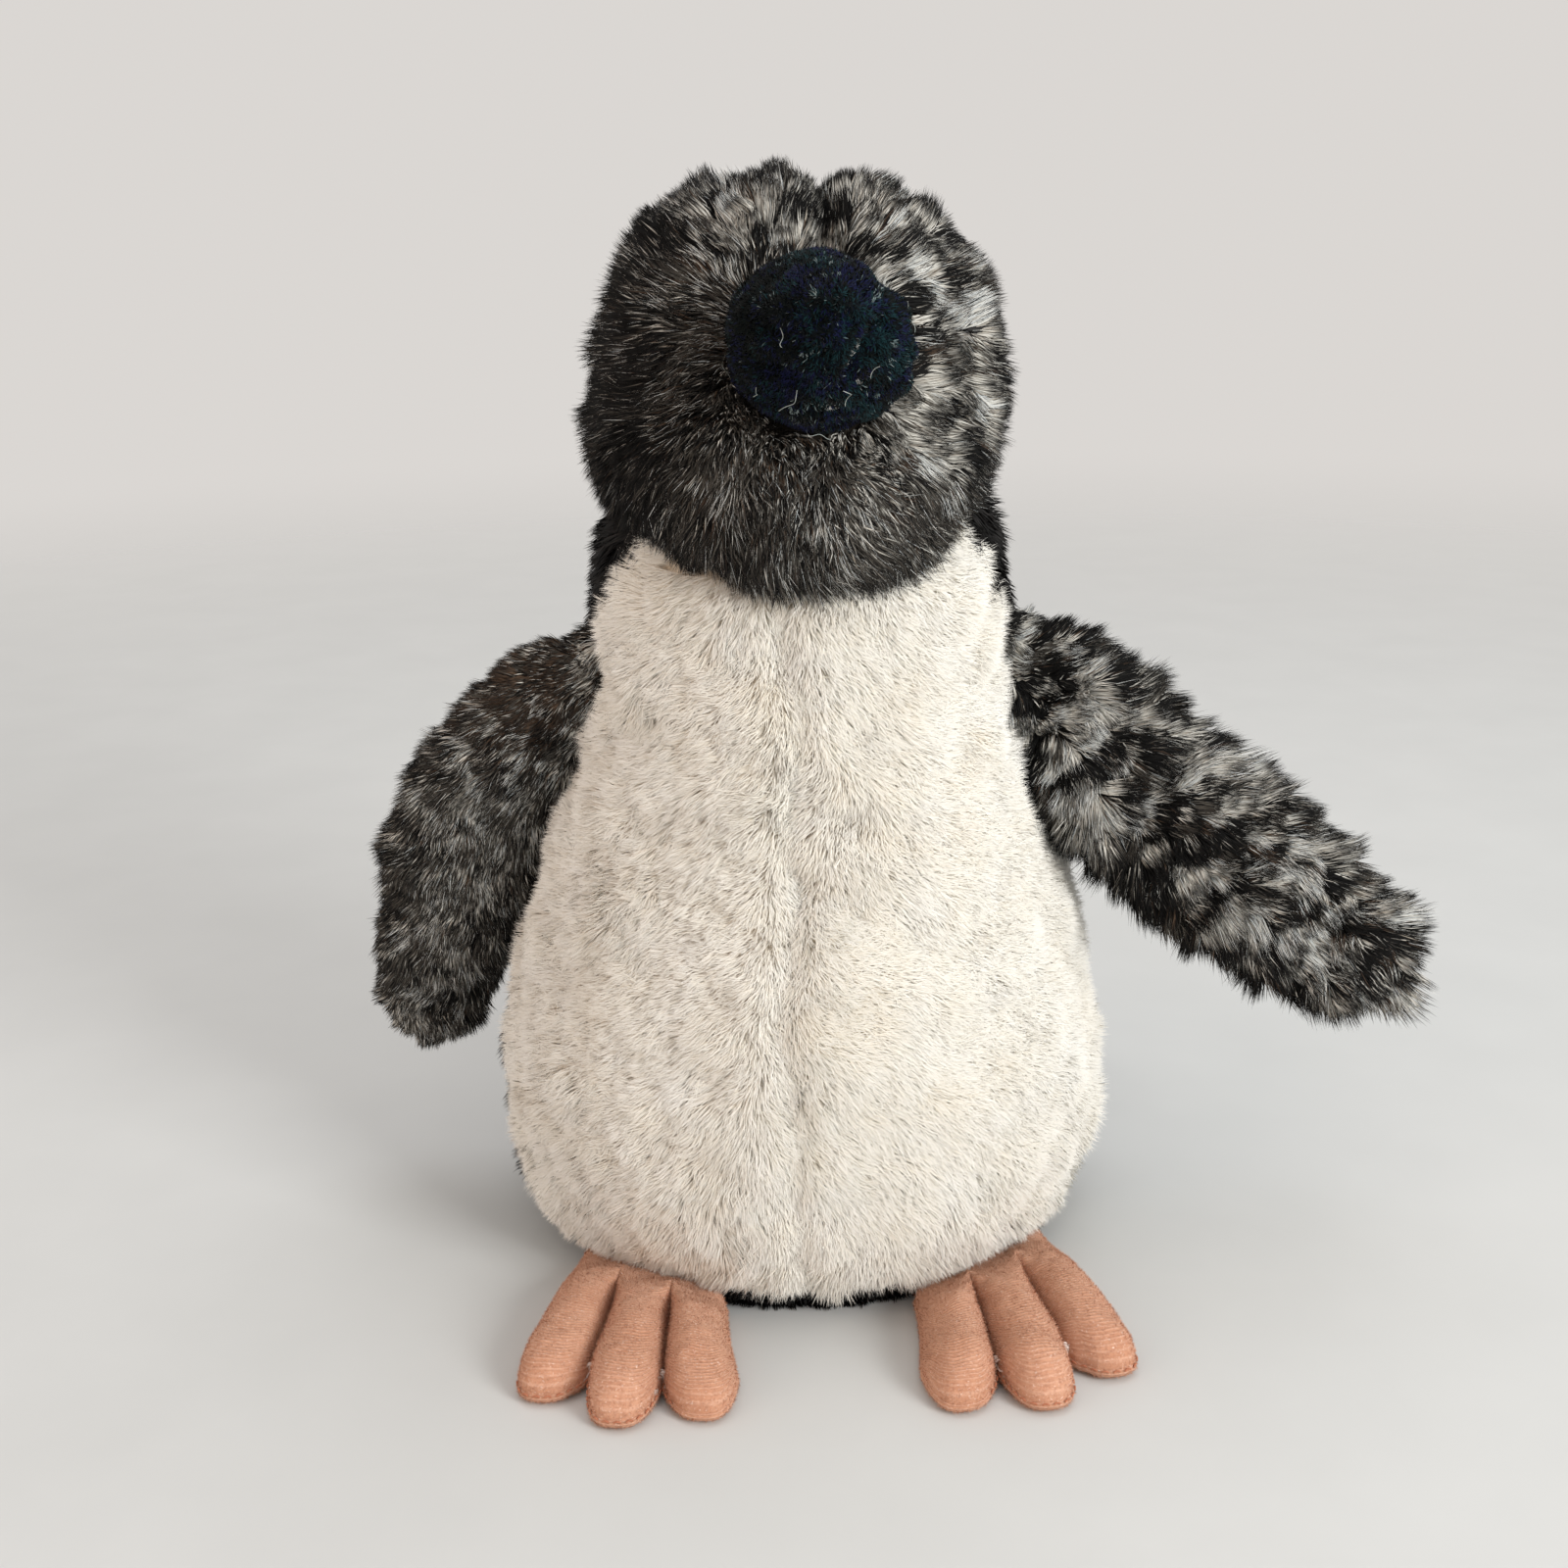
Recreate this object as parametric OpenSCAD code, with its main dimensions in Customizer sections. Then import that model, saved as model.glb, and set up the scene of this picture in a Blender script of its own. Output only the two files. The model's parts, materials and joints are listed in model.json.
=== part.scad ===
// Plush penguin, standing.
// Pile fabric panels sewn round fibre stuffing, with a pellet pouch in the base.
// The bird faces -Y, +Z is up, and the origin is on the table under the middle of the body.

/* [Body] */
// Width of the belly where it is widest
belly_w = 136; // [116:1:156]
// How far the belly stands out in front of the middle
belly_front = 60; // [50:1:70]
// How far the back stands out behind the middle
belly_back = 53; // [44:1:62]
// Height of the widest part of the belly
belly_z = 38; // [30:1:46]
// Width of the flat that the bird stands on
base_w = 104; // [90:1:112]
// Depth of that flat, in front of and behind the middle
base_half_d = 45; // [38:1:48]
// Width across the shoulders
shoulder_w = 88; // [84:1:100]
// Depth of the shoulders in front of the middle
shoulder_front = 41; // [40:1:48]
// Depth of the shoulders behind the middle
shoulder_back = 38; // [36:1:46]
// Height at which the shoulders start to close in on the neck
shoulder_z = 150; // [144:1:154]
// Height of the seam between the base panel and the sides
hem_z = 8; // [6:0.5:12]
// How far round the belly's middle seam sits from the front, towards the bird's left
belly_seam = -6; // [-8:1:8]

/* [Head] */
// Radius of the head, seen from above
head_r = 40.5; // [37:0.5:42]
// Height of the crown above the middle of the head
crown_h = 42; // [36:1:48]
// Depth of the jowl below the middle of the head
jowl_h = 34.5; // [32:0.5:36]
// Height of the middle of the head
head_z = 199; // [197:1:204]
// How far the head stands in front of the middle of the body
head_forward = 5; // [0:0.5:8]
// Lean of the head towards the bird's left
head_roll = 7; // [0:0.5:9]
// Turn of the head towards the bird's left
head_yaw = 1; // [0:0.5:8]

/* [Beak] */
// Radius of the beak where it leaves the head
beak_r = 17; // [14:0.5:19]
// How far the beak's tip is from the middle of the head
beak_reach = 76; // [66:1:84]
// Lift of the beak above level
beak_pitch = 17; // [8:1:18]
// Bluntness of the tip: lower is blunter
beak_taper = 0.66; // [0.5:0.02:0.8]

/* [Eyes] */
// Radius of the eye's dome
eye_r = 4; // [3:0.5:5]
// Angle of each eye from straight ahead
eye_azimuth = 60; // [52:1:66]
// Angle of each eye above level
eye_elevation = 27; // [22:1:32]
// Radius of the eye's shank
shank_r = 1.6; // [1.2:0.1:2]
// Radius of the washer that holds the eye on
washer_r = 6; // [5:0.5:7]
// Thickness of that washer
washer_t = 1.4; // [1:0.1:2]

/* [Wings] */
// Length of a wing from its pivot
wing_l = 117; // [100:1:130]
// Half of a wing's width where it is widest
wing_half_w = 16; // [13:0.5:18]
// Half of a wing's thickness where it is fullest
wing_half_t = 6.5; // [5:0.25:8]
// Distance of the fold from the pivot
fold_s = 40; // [34:1:46]
// Height of the shoulder pivot
wing_z = 136; // [128:1:140]
// How far the left wing hangs below level
left_droop = 47; // [20:1:48]
// How far the right wing hangs below level
right_droop = 50; // [20:1:52]
// How far the left wing slopes forward
left_sweep = 14; // [0:1:20]
// How far the right wing slopes back
right_sweep = 18; // [0:1:20]
// Bend of the right wing at its fold, in its own plane
right_bend = 24; // [0:1:30]
// Bend of the left wing at its fold, in its own plane
left_bend = -10; // [-12:1:20]

/* [Feet] */
// Distance of a foot's root from the middle of the body
foot_x = 38; // [31:1:40]
// Length of a foot from its root to the middle toe's tip
foot_l = 49; // [42:1:56]
// Half of a foot's width at the root
foot_root_w = 18; // [15:0.5:20]
// Half of a foot's width at the toes
foot_toe_w = 21.5; // [19:0.5:25]
// Height of the toes above the sole
toe_h = 10; // [7:0.5:12]
// Turn of each foot outwards
foot_splay = 8; // [0:1:14]

/* [Tail] */
// Length of the tail from its seam
tail_l = 26; // [18:1:34]
// Half of the tail's width at its root
tail_half_w = 14; // [10:0.5:18]
// Height of the tail's root
tail_z = 24; // [20:1:32]

/* [Fabric and filling] */
// Thickness of the body's and head's pile fabric
plush_t = 3; // [2:0.5:4]
// Thickness of the wings' fabric
wing_t = 1.2; // [0.8:0.1:1.5]
// Thickness of the feet's knit fabric
knit_t = 1.2; // [0.8:0.1:1.6]
// Thickness of the beak's velour
velour_t = 1.6; // [1:0.1:2.2]
// Room between the pellet pouch and the body's fabric
pouch_clear = 2; // [1:0.5:6]
// Height of the filled pellet pouch
pouch_h = 19; // [14:1:22]
// Thickness of the pouch's cloth
pouch_t = 0.8; // [0.5:0.1:1.2]

/* [Hidden] */

// Colours as sewn
cream = "#f3e9da";
charcoal = "#33312f";
frost = "#5a5855";
navy = "#1b2533";
terracotta = "#c57a55";
white = "#f4f4f0";
black = "#0c0c0c";

gap = 0.2;            // between pieces of one body that lie against each other
fill_gap = 0.7;       // between fabric and the filling behind it
joint_gap = 0.5;      // between pieces of two bodies
round_fn = 64;
crown_power = 2.2;    // squareness of the head's outline, above and below its middle
jowl_power = 3;
far = 400;            // larger than the bird, for half-spaces

// ---------------------------------------------------------------- closed solids from grids

// Triangles of one face of a grid of points, rows i and columns j, numbered from first.
function grid_faces(rows, cols, first, inside) = [
    for (i = [0 : rows - 2], j = [0 : cols - 2])
        let (a = first + i * cols + j, b = a + 1, c = b + cols, d = a + cols)
        each (inside ? [[a, b, c], [a, c, d]] : [[a, d, c], [a, c, b]])
];

// A strip between point rows p and q, which run the same way. Two panels that meet in a seam cut
// their strips along the same diagonals, so that the cut edges lie face to face.
function strip_faces(p, q, other = false) = [
    for (k = [0 : len(p) - 2])
        each (other ? [[p[k], p[k + 1], q[k]], [p[k + 1], q[k + 1], q[k]]]
                    : [[p[k], p[k + 1], q[k + 1]], [p[k], q[k + 1], q[k]]])
];

function reversed(v) = [for (k = [len(v) - 1 : -1 : 0]) v[k]];

// A piece of fabric: its outer grid, its inner grid and the four cut edges between them.
module fabric(outer, inner) {
    rows = len(outer);
    cols = len(outer[0]);
    n = rows * cols;
    bottom = [for (j = [0 : cols - 1]) j];
    top = [for (j = [0 : cols - 1]) (rows - 1) * cols + j];
    first = [for (i = [0 : rows - 1]) i * cols];
    last = [for (i = [0 : rows - 1]) i * cols + cols - 1];
    polyhedron(
        points = concat([for (r = outer) each r], [for (r = inner) each r]),
        faces = concat(
            grid_faces(rows, cols, 0, false),
            grid_faces(rows, cols, n, true),
            strip_faces(bottom, [for (k = bottom) k + n]),
            strip_faces(reversed(top), [for (k = reversed(top)) k + n]),
            strip_faces(reversed(first), [for (k = reversed(first)) k + n], true),
            strip_faces(last, [for (k = last) k + n])
        ),
        convexity = 6
    );
}

// A solid through closed rings of points, with flat ends.
module loft(rings) {
    cols = len(rings[0]);
    rows = len(rings);
    polyhedron(
        points = [for (r = rings) each r],
        faces = concat(
            [[for (j = [0 : cols - 1]) j]],
            [[for (j = [cols - 1 : -1 : 0]) (rows - 1) * cols + j]],
            [
                for (i = [0 : rows - 2], j = [0 : cols - 1])
                    let (
                        a = i * cols + j, b = i * cols + (j + 1) % cols,
                        c = b + cols, d = a + cols
                    )
                    each [[a, d, c], [a, c, b]]
            ]
        ),
        convexity = 6
    );
}

function unit(v) = v / max(norm(v), 1e-9);
function smooth(t) = let (u = min(1, max(0, t))) u * u * (3 - 2 * u);

// ---------------------------------------------------------------- body

// The head turns inside a ball of this radius, so the body's neck seam stays outside it.
ball_r = max([for (t = [-90 : 3 : 90]) norm(outline_point(t, 0))]) + joint_gap;
rim_drop = 0.74 * jowl_h;
rim_z = head_z - rim_drop;
rim_r = sqrt(pow(ball_r, 2) - pow(head_z - rim_z, 2)) + plush_t + joint_gap;

// [half width, front depth, back depth, height, middle's Y] of the body's section at k:
// 0 to 1 rises from the flat to the belly, 1 to 2 to the shoulders, 2 to 3 closes to the neck.
function body_section(k) =
    k < 1 ? let (s = sin(90 * k)) [
        base_w / 2 + (belly_w - base_w) / 2 * s,
        base_half_d + (belly_front - base_half_d) * s,
        base_half_d + (belly_back - base_half_d) * s,
        belly_z * (1 - cos(90 * k)), 0
    ] :
    k < 2 ? let (t = (1 - cos(180 * (k - 1))) / 2) [
        belly_w / 2 + (shoulder_w - belly_w) / 2 * t,
        belly_front + (shoulder_front - belly_front) * t,
        belly_back + (shoulder_back - belly_back) * t,
        belly_z + (shoulder_z - belly_z) * (k - 1), 0
    ] :
    let (c = 1 - cos(90 * (k - 2)), s = sin(90 * (k - 2))) [
        shoulder_w / 2 + (rim_r - shoulder_w / 2) * c,
        shoulder_front + (rim_r - shoulder_front) * c,
        shoulder_back + (rim_r - shoulder_back) * c,
        shoulder_z + (rim_z - shoulder_z) * s, -head_forward * c
    ];

// The k of the section at height z
function section_at(z) =
    z < belly_z ? acos(1 - z / belly_z) / 90 :
    z < shoulder_z ? 1 + (z - belly_z) / (shoulder_z - belly_z) :
    2 + asin(min(1, (z - shoulder_z) / (rim_z - shoulder_z))) / 90;

function body_raw(k, a) =
    let (q = body_section(k), d = cos(a) > 0 ? q[1] : q[2])
    [q[0] * sin(a), q[4] - d * cos(a), q[3]];

// Outward normal of the body at k and angle a, which runs from the front towards the left.
function body_normal(k, a) =
    let (
        lo = max(0, k - 0.02), hi = min(3, k + 0.02),
        along = body_raw(hi, a) - body_raw(lo, a),
        round = body_raw(k, a + 1) - body_raw(k, a - 1)
    ) unit(cross(round, along));

function body_point(k, a, inset = 0) =
    inset == 0 ? body_raw(k, a) : body_raw(k, a) - inset * body_normal(k, a);

// Where the side seam between belly and back runs, as an angle from the front at each height.
function seam_angle(z) = lookup(z, [[0, 80], [40, 88], [85, 97], [120, 93], [150, 76], [175, 60]]);

hem_k = section_at(hem_z);
body_rows = concat(
    [for (i = [0 : 4]) hem_k + (1 - hem_k) * i / 4],
    [for (i = [1 : 9]) 1 + i / 9],
    [for (i = [1 : 5]) 2 + i / 5]
);
panel_cols = 9;

// Points of a panel between the angles that it starts and stops at on each row.
function panel_grid(starts, stops, inset) = [
    for (i = [0 : len(body_rows) - 1])
        [
            for (j = [0 : panel_cols])
                body_point(body_rows[i], starts[i] + (stops[i] - starts[i]) * j / panel_cols, inset)
        ]
];
side_seam = [for (k = body_rows) seam_angle(body_section(k)[3])];

module belly_panel(side) {
    middle = [for (k = body_rows) side * belly_seam];
    color(cream) mirror([side > 0 ? 0 : 1, 0, 0])
    fabric(panel_grid(middle, side_seam, 0), panel_grid(middle, side_seam, plush_t));
}

module back_panel(side) {
    middle = [for (k = body_rows) 180];
    color(charcoal) mirror([side > 0 ? 0 : 1, 0, 0])
    fabric(panel_grid(side_seam, middle, 0), panel_grid(side_seam, middle, plush_t));
}

ring_cols = 36;
function body_ring(k, inset) = [for (j = [0 : ring_cols - 1]) body_point(k, 360 * j / ring_cols, inset)];
function flat_ring(k, z, shrink) = [
    for (j = [0 : ring_cols - 1])
        let (p = body_raw(k, 360 * j / ring_cols), s = 1 - shrink / norm([p.x, p.y])) [p.x * s, p.y * s, z]
];

// The base panel is a shallow dish: the flat underside, and a turned-up edge as high as the hem.
module base_panel() {
    edge = [for (i = [0 : 4]) hem_k * i / 4];
    top = body_section(hem_k)[3] - gap;
    color(charcoal)
    intersection() {
        loft(concat(
            [flat_ring(0, -1, 0)],
            [for (k = edge) flat_ring(k, min(top, body_section(k)[3]), 0)],
            [flat_ring(hem_k, top, plush_t)],
            [flat_ring(hem_k * 0.6, plush_t, plush_t)]
        ));
        translate([-far / 2, -far / 2, 0]) cube(far);
    }
}

stuffing_bottom = plush_t + pouch_h + 2 * gap;
neck_wad_l = 14;
neck_wad_z = head_z - jowl_h - neck_wad_l - joint_gap;
// The torso's stuffing fills the skin from the pellet pouch up to the neck.
module torso_stuffing() {
    steps = 10;
    k0 = section_at(stuffing_bottom);
    k1 = section_at(neck_wad_z - joint_gap);
    inset = plush_t + fill_gap;
    color(white) loft(concat(
        [flat_ring(k0, stuffing_bottom, inset + 1)],
        [for (i = [1 : steps - 1]) body_ring(k0 + (k1 - k0) * i / steps, inset)],
        [flat_ring(k1, neck_wad_z - joint_gap, inset)]
    ));
}

// ---------------------------------------------------------------- pellet pouch

pouch_base = plush_t + gap;
pouch_r = min(base_w / 2, base_half_d) - plush_t - pouch_clear;
// A bag with round edges, between heights z0 and z1.
module pouch_solid(r, z0, z1) {
    rr = (z1 - z0) / 2;
    rotate_extrude($fn = round_fn) union() {
        translate([0, z0]) square([r - rr, z1 - z0]);
        intersection() {
            translate([r - rr, z0 + rr]) circle(r = rr, $fn = round_fn);
            translate([r - rr - 0.01, z0]) square([rr + 1, z1 - z0]);
        }
    }
}

module pouch_half(low) {
    mid = pouch_base + pouch_h / 2;
    color(white) intersection() {
        difference() {
            pouch_solid(pouch_r, pouch_base, pouch_base + pouch_h);
            pouch_solid(pouch_r - pouch_t, pouch_base + pouch_t, pouch_base + pouch_h - pouch_t);
        }
        translate([-far / 2, -far / 2, low ? mid - far - gap / 2 : mid + gap / 2]) cube(far);
    }
}

module pellet_fill() {
    clear = pouch_t + gap;
    color("#c9ccd2") pouch_solid(pouch_r - clear, pouch_base + clear, pouch_base + pouch_h - clear);
}

// ---------------------------------------------------------------- closing seam and label

stitch_r = 0.4;
// Hand stitches across the back seam, where the skin was closed after filling.
module closing_stitches() {
    color(charcoal)
    for (i = [0 : 8])
        let (p = body_point(1.2 + 0.035 * i, 180))
        translate([p.x, p.y + stitch_r + 0.1, p.z]) rotate([0, 90, 0])
        cylinder(r = stitch_r, h = 6, center = true, $fn = 24);
}

label_w = 14;
label_l = 20;
label_t = 0.6;
label_a = 128;
// A blank satin label held in the base seam at the back left.
module care_label() {
    p = body_point(hem_k, label_a);
    color(white)
    translate([p.x, p.y, hem_z + 1]) rotate([0, 0, label_a - 90])
    translate([plush_t, -label_w / 2, 0]) rotate([0, 18, 0])
    cube([label_t, label_w, label_l]);
}

// ---------------------------------------------------------------- neck and head

neck_r = 13;
neck_cup_r = norm([jowl_h, 0.5 * head_r]) - 0.4;
module neck_stuffing() {
    color(white) difference() {
        translate([0, -head_forward, neck_wad_z]) cylinder(r = neck_r, h = neck_wad_l, $fn = round_fn);
        translate([0, -head_forward, head_z]) sphere(r = neck_cup_r, $fn = round_fn);
    }
}

module in_head() {
    translate([0, -head_forward, head_z]) rotate([0, head_roll, head_yaw]) children();
}

// Radius of the head's outline at t degrees above the middle, on a superellipse.
function outline_point(t, inset) =
    let (p = t < 0 ? jowl_power : crown_power, h = t < 0 ? jowl_h : crown_h)
    [(head_r - inset) * pow(abs(cos(t)), 2 / p), sign(t) * (h - inset) * pow(abs(sin(t)), 2 / p)];

module head_solid(inset) {
    steps = 22;
    rotate_extrude($fn = round_fn) polygon(concat(
        [[0, -(jowl_h - inset)]],
        [for (i = [1 : steps - 1]) outline_point(-90 + 180 * i / steps, inset)],
        [[0, crown_h - inset]]
    ));
}

neck_cut = -rim_drop - 4;
module on_beak() {
    rotate([90 - beak_pitch, 0, 0]) children();
}

function eye_reach() = pow(
    pow(cos(eye_elevation) / head_r, crown_power) + pow(sin(eye_elevation) / crown_h, crown_power),
    -1 / crown_power
);

// side is 1 for the bird's left and -1 for its right
module on_eye(side) {
    rotate([0, 90 - eye_elevation, -90 + side * eye_azimuth]) translate([0, 0, eye_reach()]) children();
}

module half_space(side, d) {
    translate([side > 0 ? d : -far - d, -far / 2, -far / 2]) cube(far);
}

module head_panel(side) {
    color(frost) in_head() difference() {
        intersection() {
            difference() {
                head_solid(0);
                head_solid(plush_t);
            }
            half_space(side, gap / 2);
            translate([-far / 2, -far / 2, neck_cut]) cube(far);
        }
        on_beak() cylinder(r = beak_r + gap, h = far, $fn = round_fn);
        on_eye(side) cylinder(r = shank_r + gap / 2, h = 20, center = true, $fn = round_fn);
    }
}

beak_seat = head_r * 0.8;
module head_stuffing() {
    color(white) in_head() difference() {
        union() {
            head_solid(plush_t + gap);
            intersection() {
                head_solid(gap);
                translate([-far / 2, -far / 2, neck_cut - gap - far]) cube(far);
            }
        }
        on_beak() translate([0, 0, beak_seat - gap]) cylinder(r = beak_r + gap, h = far, $fn = round_fn);
        for (side = [-1, 1])
            on_eye(side) translate([0, 0, -9]) cylinder(r = washer_r + 1, h = far, $fn = round_fn);
    }
}

// ---------------------------------------------------------------- beak

// Half outline of the beak, from its seat to its rounded tip, drawn in by inset.
function beak_outline(inset) =
    let (
        steps = 16, r = beak_r - inset, l0 = beak_seat + inset * 0.5,
        l1 = head_r * 0.98, l2 = beak_reach - 1.5 * inset
    )
    concat(
        [[0, l0], [r, l0]],
        [
            for (i = [0 : steps])
                let (t = sin(90 * i / steps))
                [r * pow(1 - pow(t, 2.2), beak_taper), l1 + (l2 - l1) * t]
        ]
    );

module beak_solid(inset) {
    rotate_extrude($fn = round_fn) polygon(beak_outline(inset));
}

mouth_y = -3;
module beak_half(upper) {
    color(navy) in_head() on_beak() intersection() {
        difference() {
            beak_solid(0);
            beak_solid(velour_t);
            cylinder(r = beak_r - velour_t, h = beak_seat + 2 * velour_t, $fn = round_fn);
        }
        translate([-far / 2, upper ? mouth_y + gap / 2 : mouth_y - far - gap / 2, -far / 2]) cube(far);
    }
}

module beak_stuffing() {
    color(white) in_head() on_beak() beak_solid(velour_t + gap);
}

// ---------------------------------------------------------------- eyes

shank_l = plush_t + washer_t + 3;
module eye(side) {
    color(black) in_head() on_eye(side) {
        intersection() {
            translate([0, 0, gap]) sphere(r = eye_r, $fn = round_fn);
            translate([-far / 2, -far / 2, 0.8]) cube(far);
        }
        translate([0, 0, -shank_l]) cylinder(r = shank_r, h = shank_l + 1, $fn = round_fn);
    }
}

module eye_washer(side) {
    color(white) in_head() on_eye(side) translate([0, 0, -plush_t - washer_t - 2 * fill_gap]) difference() {
        cylinder(r = washer_r, h = washer_t, $fn = round_fn);
        translate([0, 0, -1]) cylinder(r = shank_r + gap / 2, h = washer_t + 2, $fn = round_fn);
    }
}

// ---------------------------------------------------------------- wings and tail

root_s = 4.5;        // clear of the pivot
root_w = 5.5;
crease = 1.3;        // each side of the fold
bend_half = 12;      // of the arc that a bent wing takes, each side of the fold

// Half width and half thickness of a wing at distance s from its pivot.
function wing_w(s) =
    s < 24 ? root_w + (wing_half_w * 0.92 - root_w) * smooth((s - root_s) / (24 - root_s)) :
    let (t = (s - 24) / (wing_l - 24))
    wing_half_w * (0.92 + 0.08 * smooth(t * 3)) * pow(max(0.012, 1 - pow(t, 4)), 0.6);
function wing_h(s) =
    let (
        full = 3.2 + (wing_half_t - 3.2) * smooth((s - root_s) / 16),
        taper = pow(max(0.01, 1 - pow(s / wing_l, 3)), 0.5),
        open = smooth((abs(s - fold_s) - crease) / 9)
    )
    2 + max(0, full * taper - 2) * open;

// Middle line of a wing bent by bend degrees at its fold: [along, across, turn] at s.
function wing_line(s, bend) =
    let (s0 = fold_s - bend_half, s1 = fold_s + bend_half)
    abs(bend) < 0.01 || s <= s0 ? [s, 0, 0] :
    let (
        r = (s1 - s0) / (bend * PI / 180), b = bend * (min(s, s1) - s0) / (s1 - s0),
        x = s0 + r * sin(b), z = -r * (1 - cos(b)), more = max(0, s - s1)
    ) [x + more * cos(b), z - more * sin(b), b];

// A point of a wing's skin at s and angle a round its section.
function wing_point(s, a, bend, inset) =
    let (m = wing_line(s, bend), w = (wing_w(s) - inset) * cos(a), h = (wing_h(s) - inset) * sin(a))
    [m[0] + w * sin(m[2]), h, m[1] + w * cos(m[2])];

wing_cols = 10;
function wing_rows(outer) = outer ?
    [for (i = [0 : 12]) fold_s + crease + (wing_l - 0.3 - fold_s - crease) * sin(90 * i / 12)] :
    [for (i = [0 : 6]) root_s + (fold_s - crease - root_s) * i / 6];

module wing_skin(outer, back, bend) {
    s = wing_rows(outer);
    a0 = back ? 180 : 0;
    color(frost) fabric(
        [for (v = s) [for (j = [0 : wing_cols]) wing_point(v, a0 - 180 * j / wing_cols, bend, 0)]],
        [for (v = s) [for (j = [0 : wing_cols]) wing_point(v, a0 - 180 * j / wing_cols, bend, wing_t)]]
    );
}

module wing_stuffing(outer, bend) {
    s0 = outer ? fold_s + 7 : root_s + 2;
    s1 = outer ? wing_l - 12 : fold_s - 7;
    steps = outer ? 7 : 4;
    color(white) loft([
        for (i = [0 : steps])
            [for (j = [0 : 15]) wing_point(s0 + (s1 - s0) * i / steps, -22.5 * j, bend, wing_t + fill_gap)]
    ]);
}

shoulder_y = -6;
pivot_clear = 4.5;
wing_x = body_section(section_at(wing_z))[0] + pivot_clear;
module on_wing(side) {
    mirror([side > 0 ? 0 : 1, 0, 0])
    translate([wing_x, shoulder_y, wing_z])
    rotate([side > 0 ? -left_sweep : right_sweep, 0, 0])
    rotate([0, side > 0 ? left_droop : right_droop, 0])
    children();
}

tail_tilt = 20;
tail_clear = 1.5;
function tail_w(t) = tail_half_w * pow(max(0.03, 1 - pow(t, 1.8)), 0.7);
function tail_h(t) = 1.8 + 3 * sin(180 * pow(t, 0.7)) * (1 - t);
function tail_point(t, a, inset) =
    [(tail_w(t) - inset) * cos(a), tail_clear + (tail_l - tail_clear) * t, (tail_h(t) - inset) * sin(a)];

module on_tail() {
    p = body_point(section_at(tail_z), 180);
    translate([0, p.y + joint_gap, tail_z]) rotate([-tail_tilt, 0, 0]) children();
}

module tail_skin(top) {
    a0 = top ? 0 : 180;
    color(charcoal) on_tail() fabric(
        [for (i = [0 : 8]) [for (j = [0 : 10]) tail_point(i / 8, a0 + 18 * j, 0)]],
        [for (i = [0 : 8]) [for (j = [0 : 10]) tail_point(i / 8, a0 + 18 * j, wing_t)]]
    );
}

// ---------------------------------------------------------------- feet

// A foot's root is a straight line beside the hem of the body, which it turns up about.
sole_t = knit_t;
foot_clear = 2.2;
hem_a = body_section(hem_k)[0];
hem_b = body_section(hem_k)[1];
foot_y = -hem_b * sqrt(1 - pow(foot_x / hem_a, 2)) - foot_clear;
root_turn = atan(hem_b / hem_a * foot_x / sqrt(pow(hem_a, 2) - pow(foot_x, 2)));

// A foot is a fan of three toes. u runs across it from -1 to 1, and v from its root to the tips.
function toe_of(u) = min(2, floor((u + 1) * 1.5));
function toe_across(u) = (u + 1) * 3 - 2 * toe_of(u) - 1;
toe_share = [0.93, 1, 0.86];
function foot_plan(u, v) =
    let (
        toe = toe_of(u), w = toe_across(u),
        reach = foot_l * toe_share[toe] * (1 - 0.2 * pow(abs(w), 3)),
        half = foot_root_w + (foot_toe_w - foot_root_w) * v - 1.5 * pow(v, 6) * pow(abs(w), 3),
        fan = 16 * u * v * v
    )
    [half * u + reach * v * sin(fan) * 0.35, foot_root_w * u * tan(root_turn - foot_splay) * (1 - v) - reach * v];
function foot_height(u, v) =
    let (
        w = toe_across(u), channel = smooth((v - 0.18) / 0.3),
        round = sqrt(max(0, 1 - pow(abs(u), 5))), ridge = pow(max(0, 1 - w * w), 0.45),
        end = pow(max(0, 1 - pow(v, 5)), 0.45), root = 0.55 + 0.45 * smooth(v / 0.4)
    )
    toe_h * end * root * ((1 - channel) * round + channel * (0.18 * round + 0.82 * ridge));

function foot_point(u, v, drop) =
    let (p = foot_plan(u, v)) [p.x, p.y, max(sole_t, foot_height(u, v) + knit_t + sole_t - drop)];

foot_us = [for (toe = [0 : 2], i = [0 : 6]) if (toe == 0 || i > 0) -1 + (2 * toe + 1 - cos(180 * i / 6)) / 3];
foot_vs = [for (i = [0 : 9]) sin(90 * i / 9)];

module on_foot(side) {
    mirror([side > 0 ? 0 : 1, 0, 0])
    translate([foot_x, foot_y, 0])
    rotate([0, 0, foot_splay])
    children();
}

module foot_upper(side) {
    color(terracotta) on_foot(side) fabric(
        [for (v = foot_vs) [for (u = reversed(foot_us)) foot_point(u, v, 0)]],
        [for (v = foot_vs) [for (u = reversed(foot_us)) foot_point(u * 0.995, v * 0.995, knit_t)]]
    );
}

foot_outline = concat(
    [for (u = foot_us) foot_plan(u, 1)],
    [for (v = [0.9 : -0.1 : 0]) foot_plan(1, v)],
    [for (v = [0 : 0.1 : 0.95]) foot_plan(-1, v)]
);
module foot_sole(side) {
    color(terracotta) on_foot(side)
    linear_extrude(sole_t - 0.05) polygon(foot_outline);
}

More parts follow.
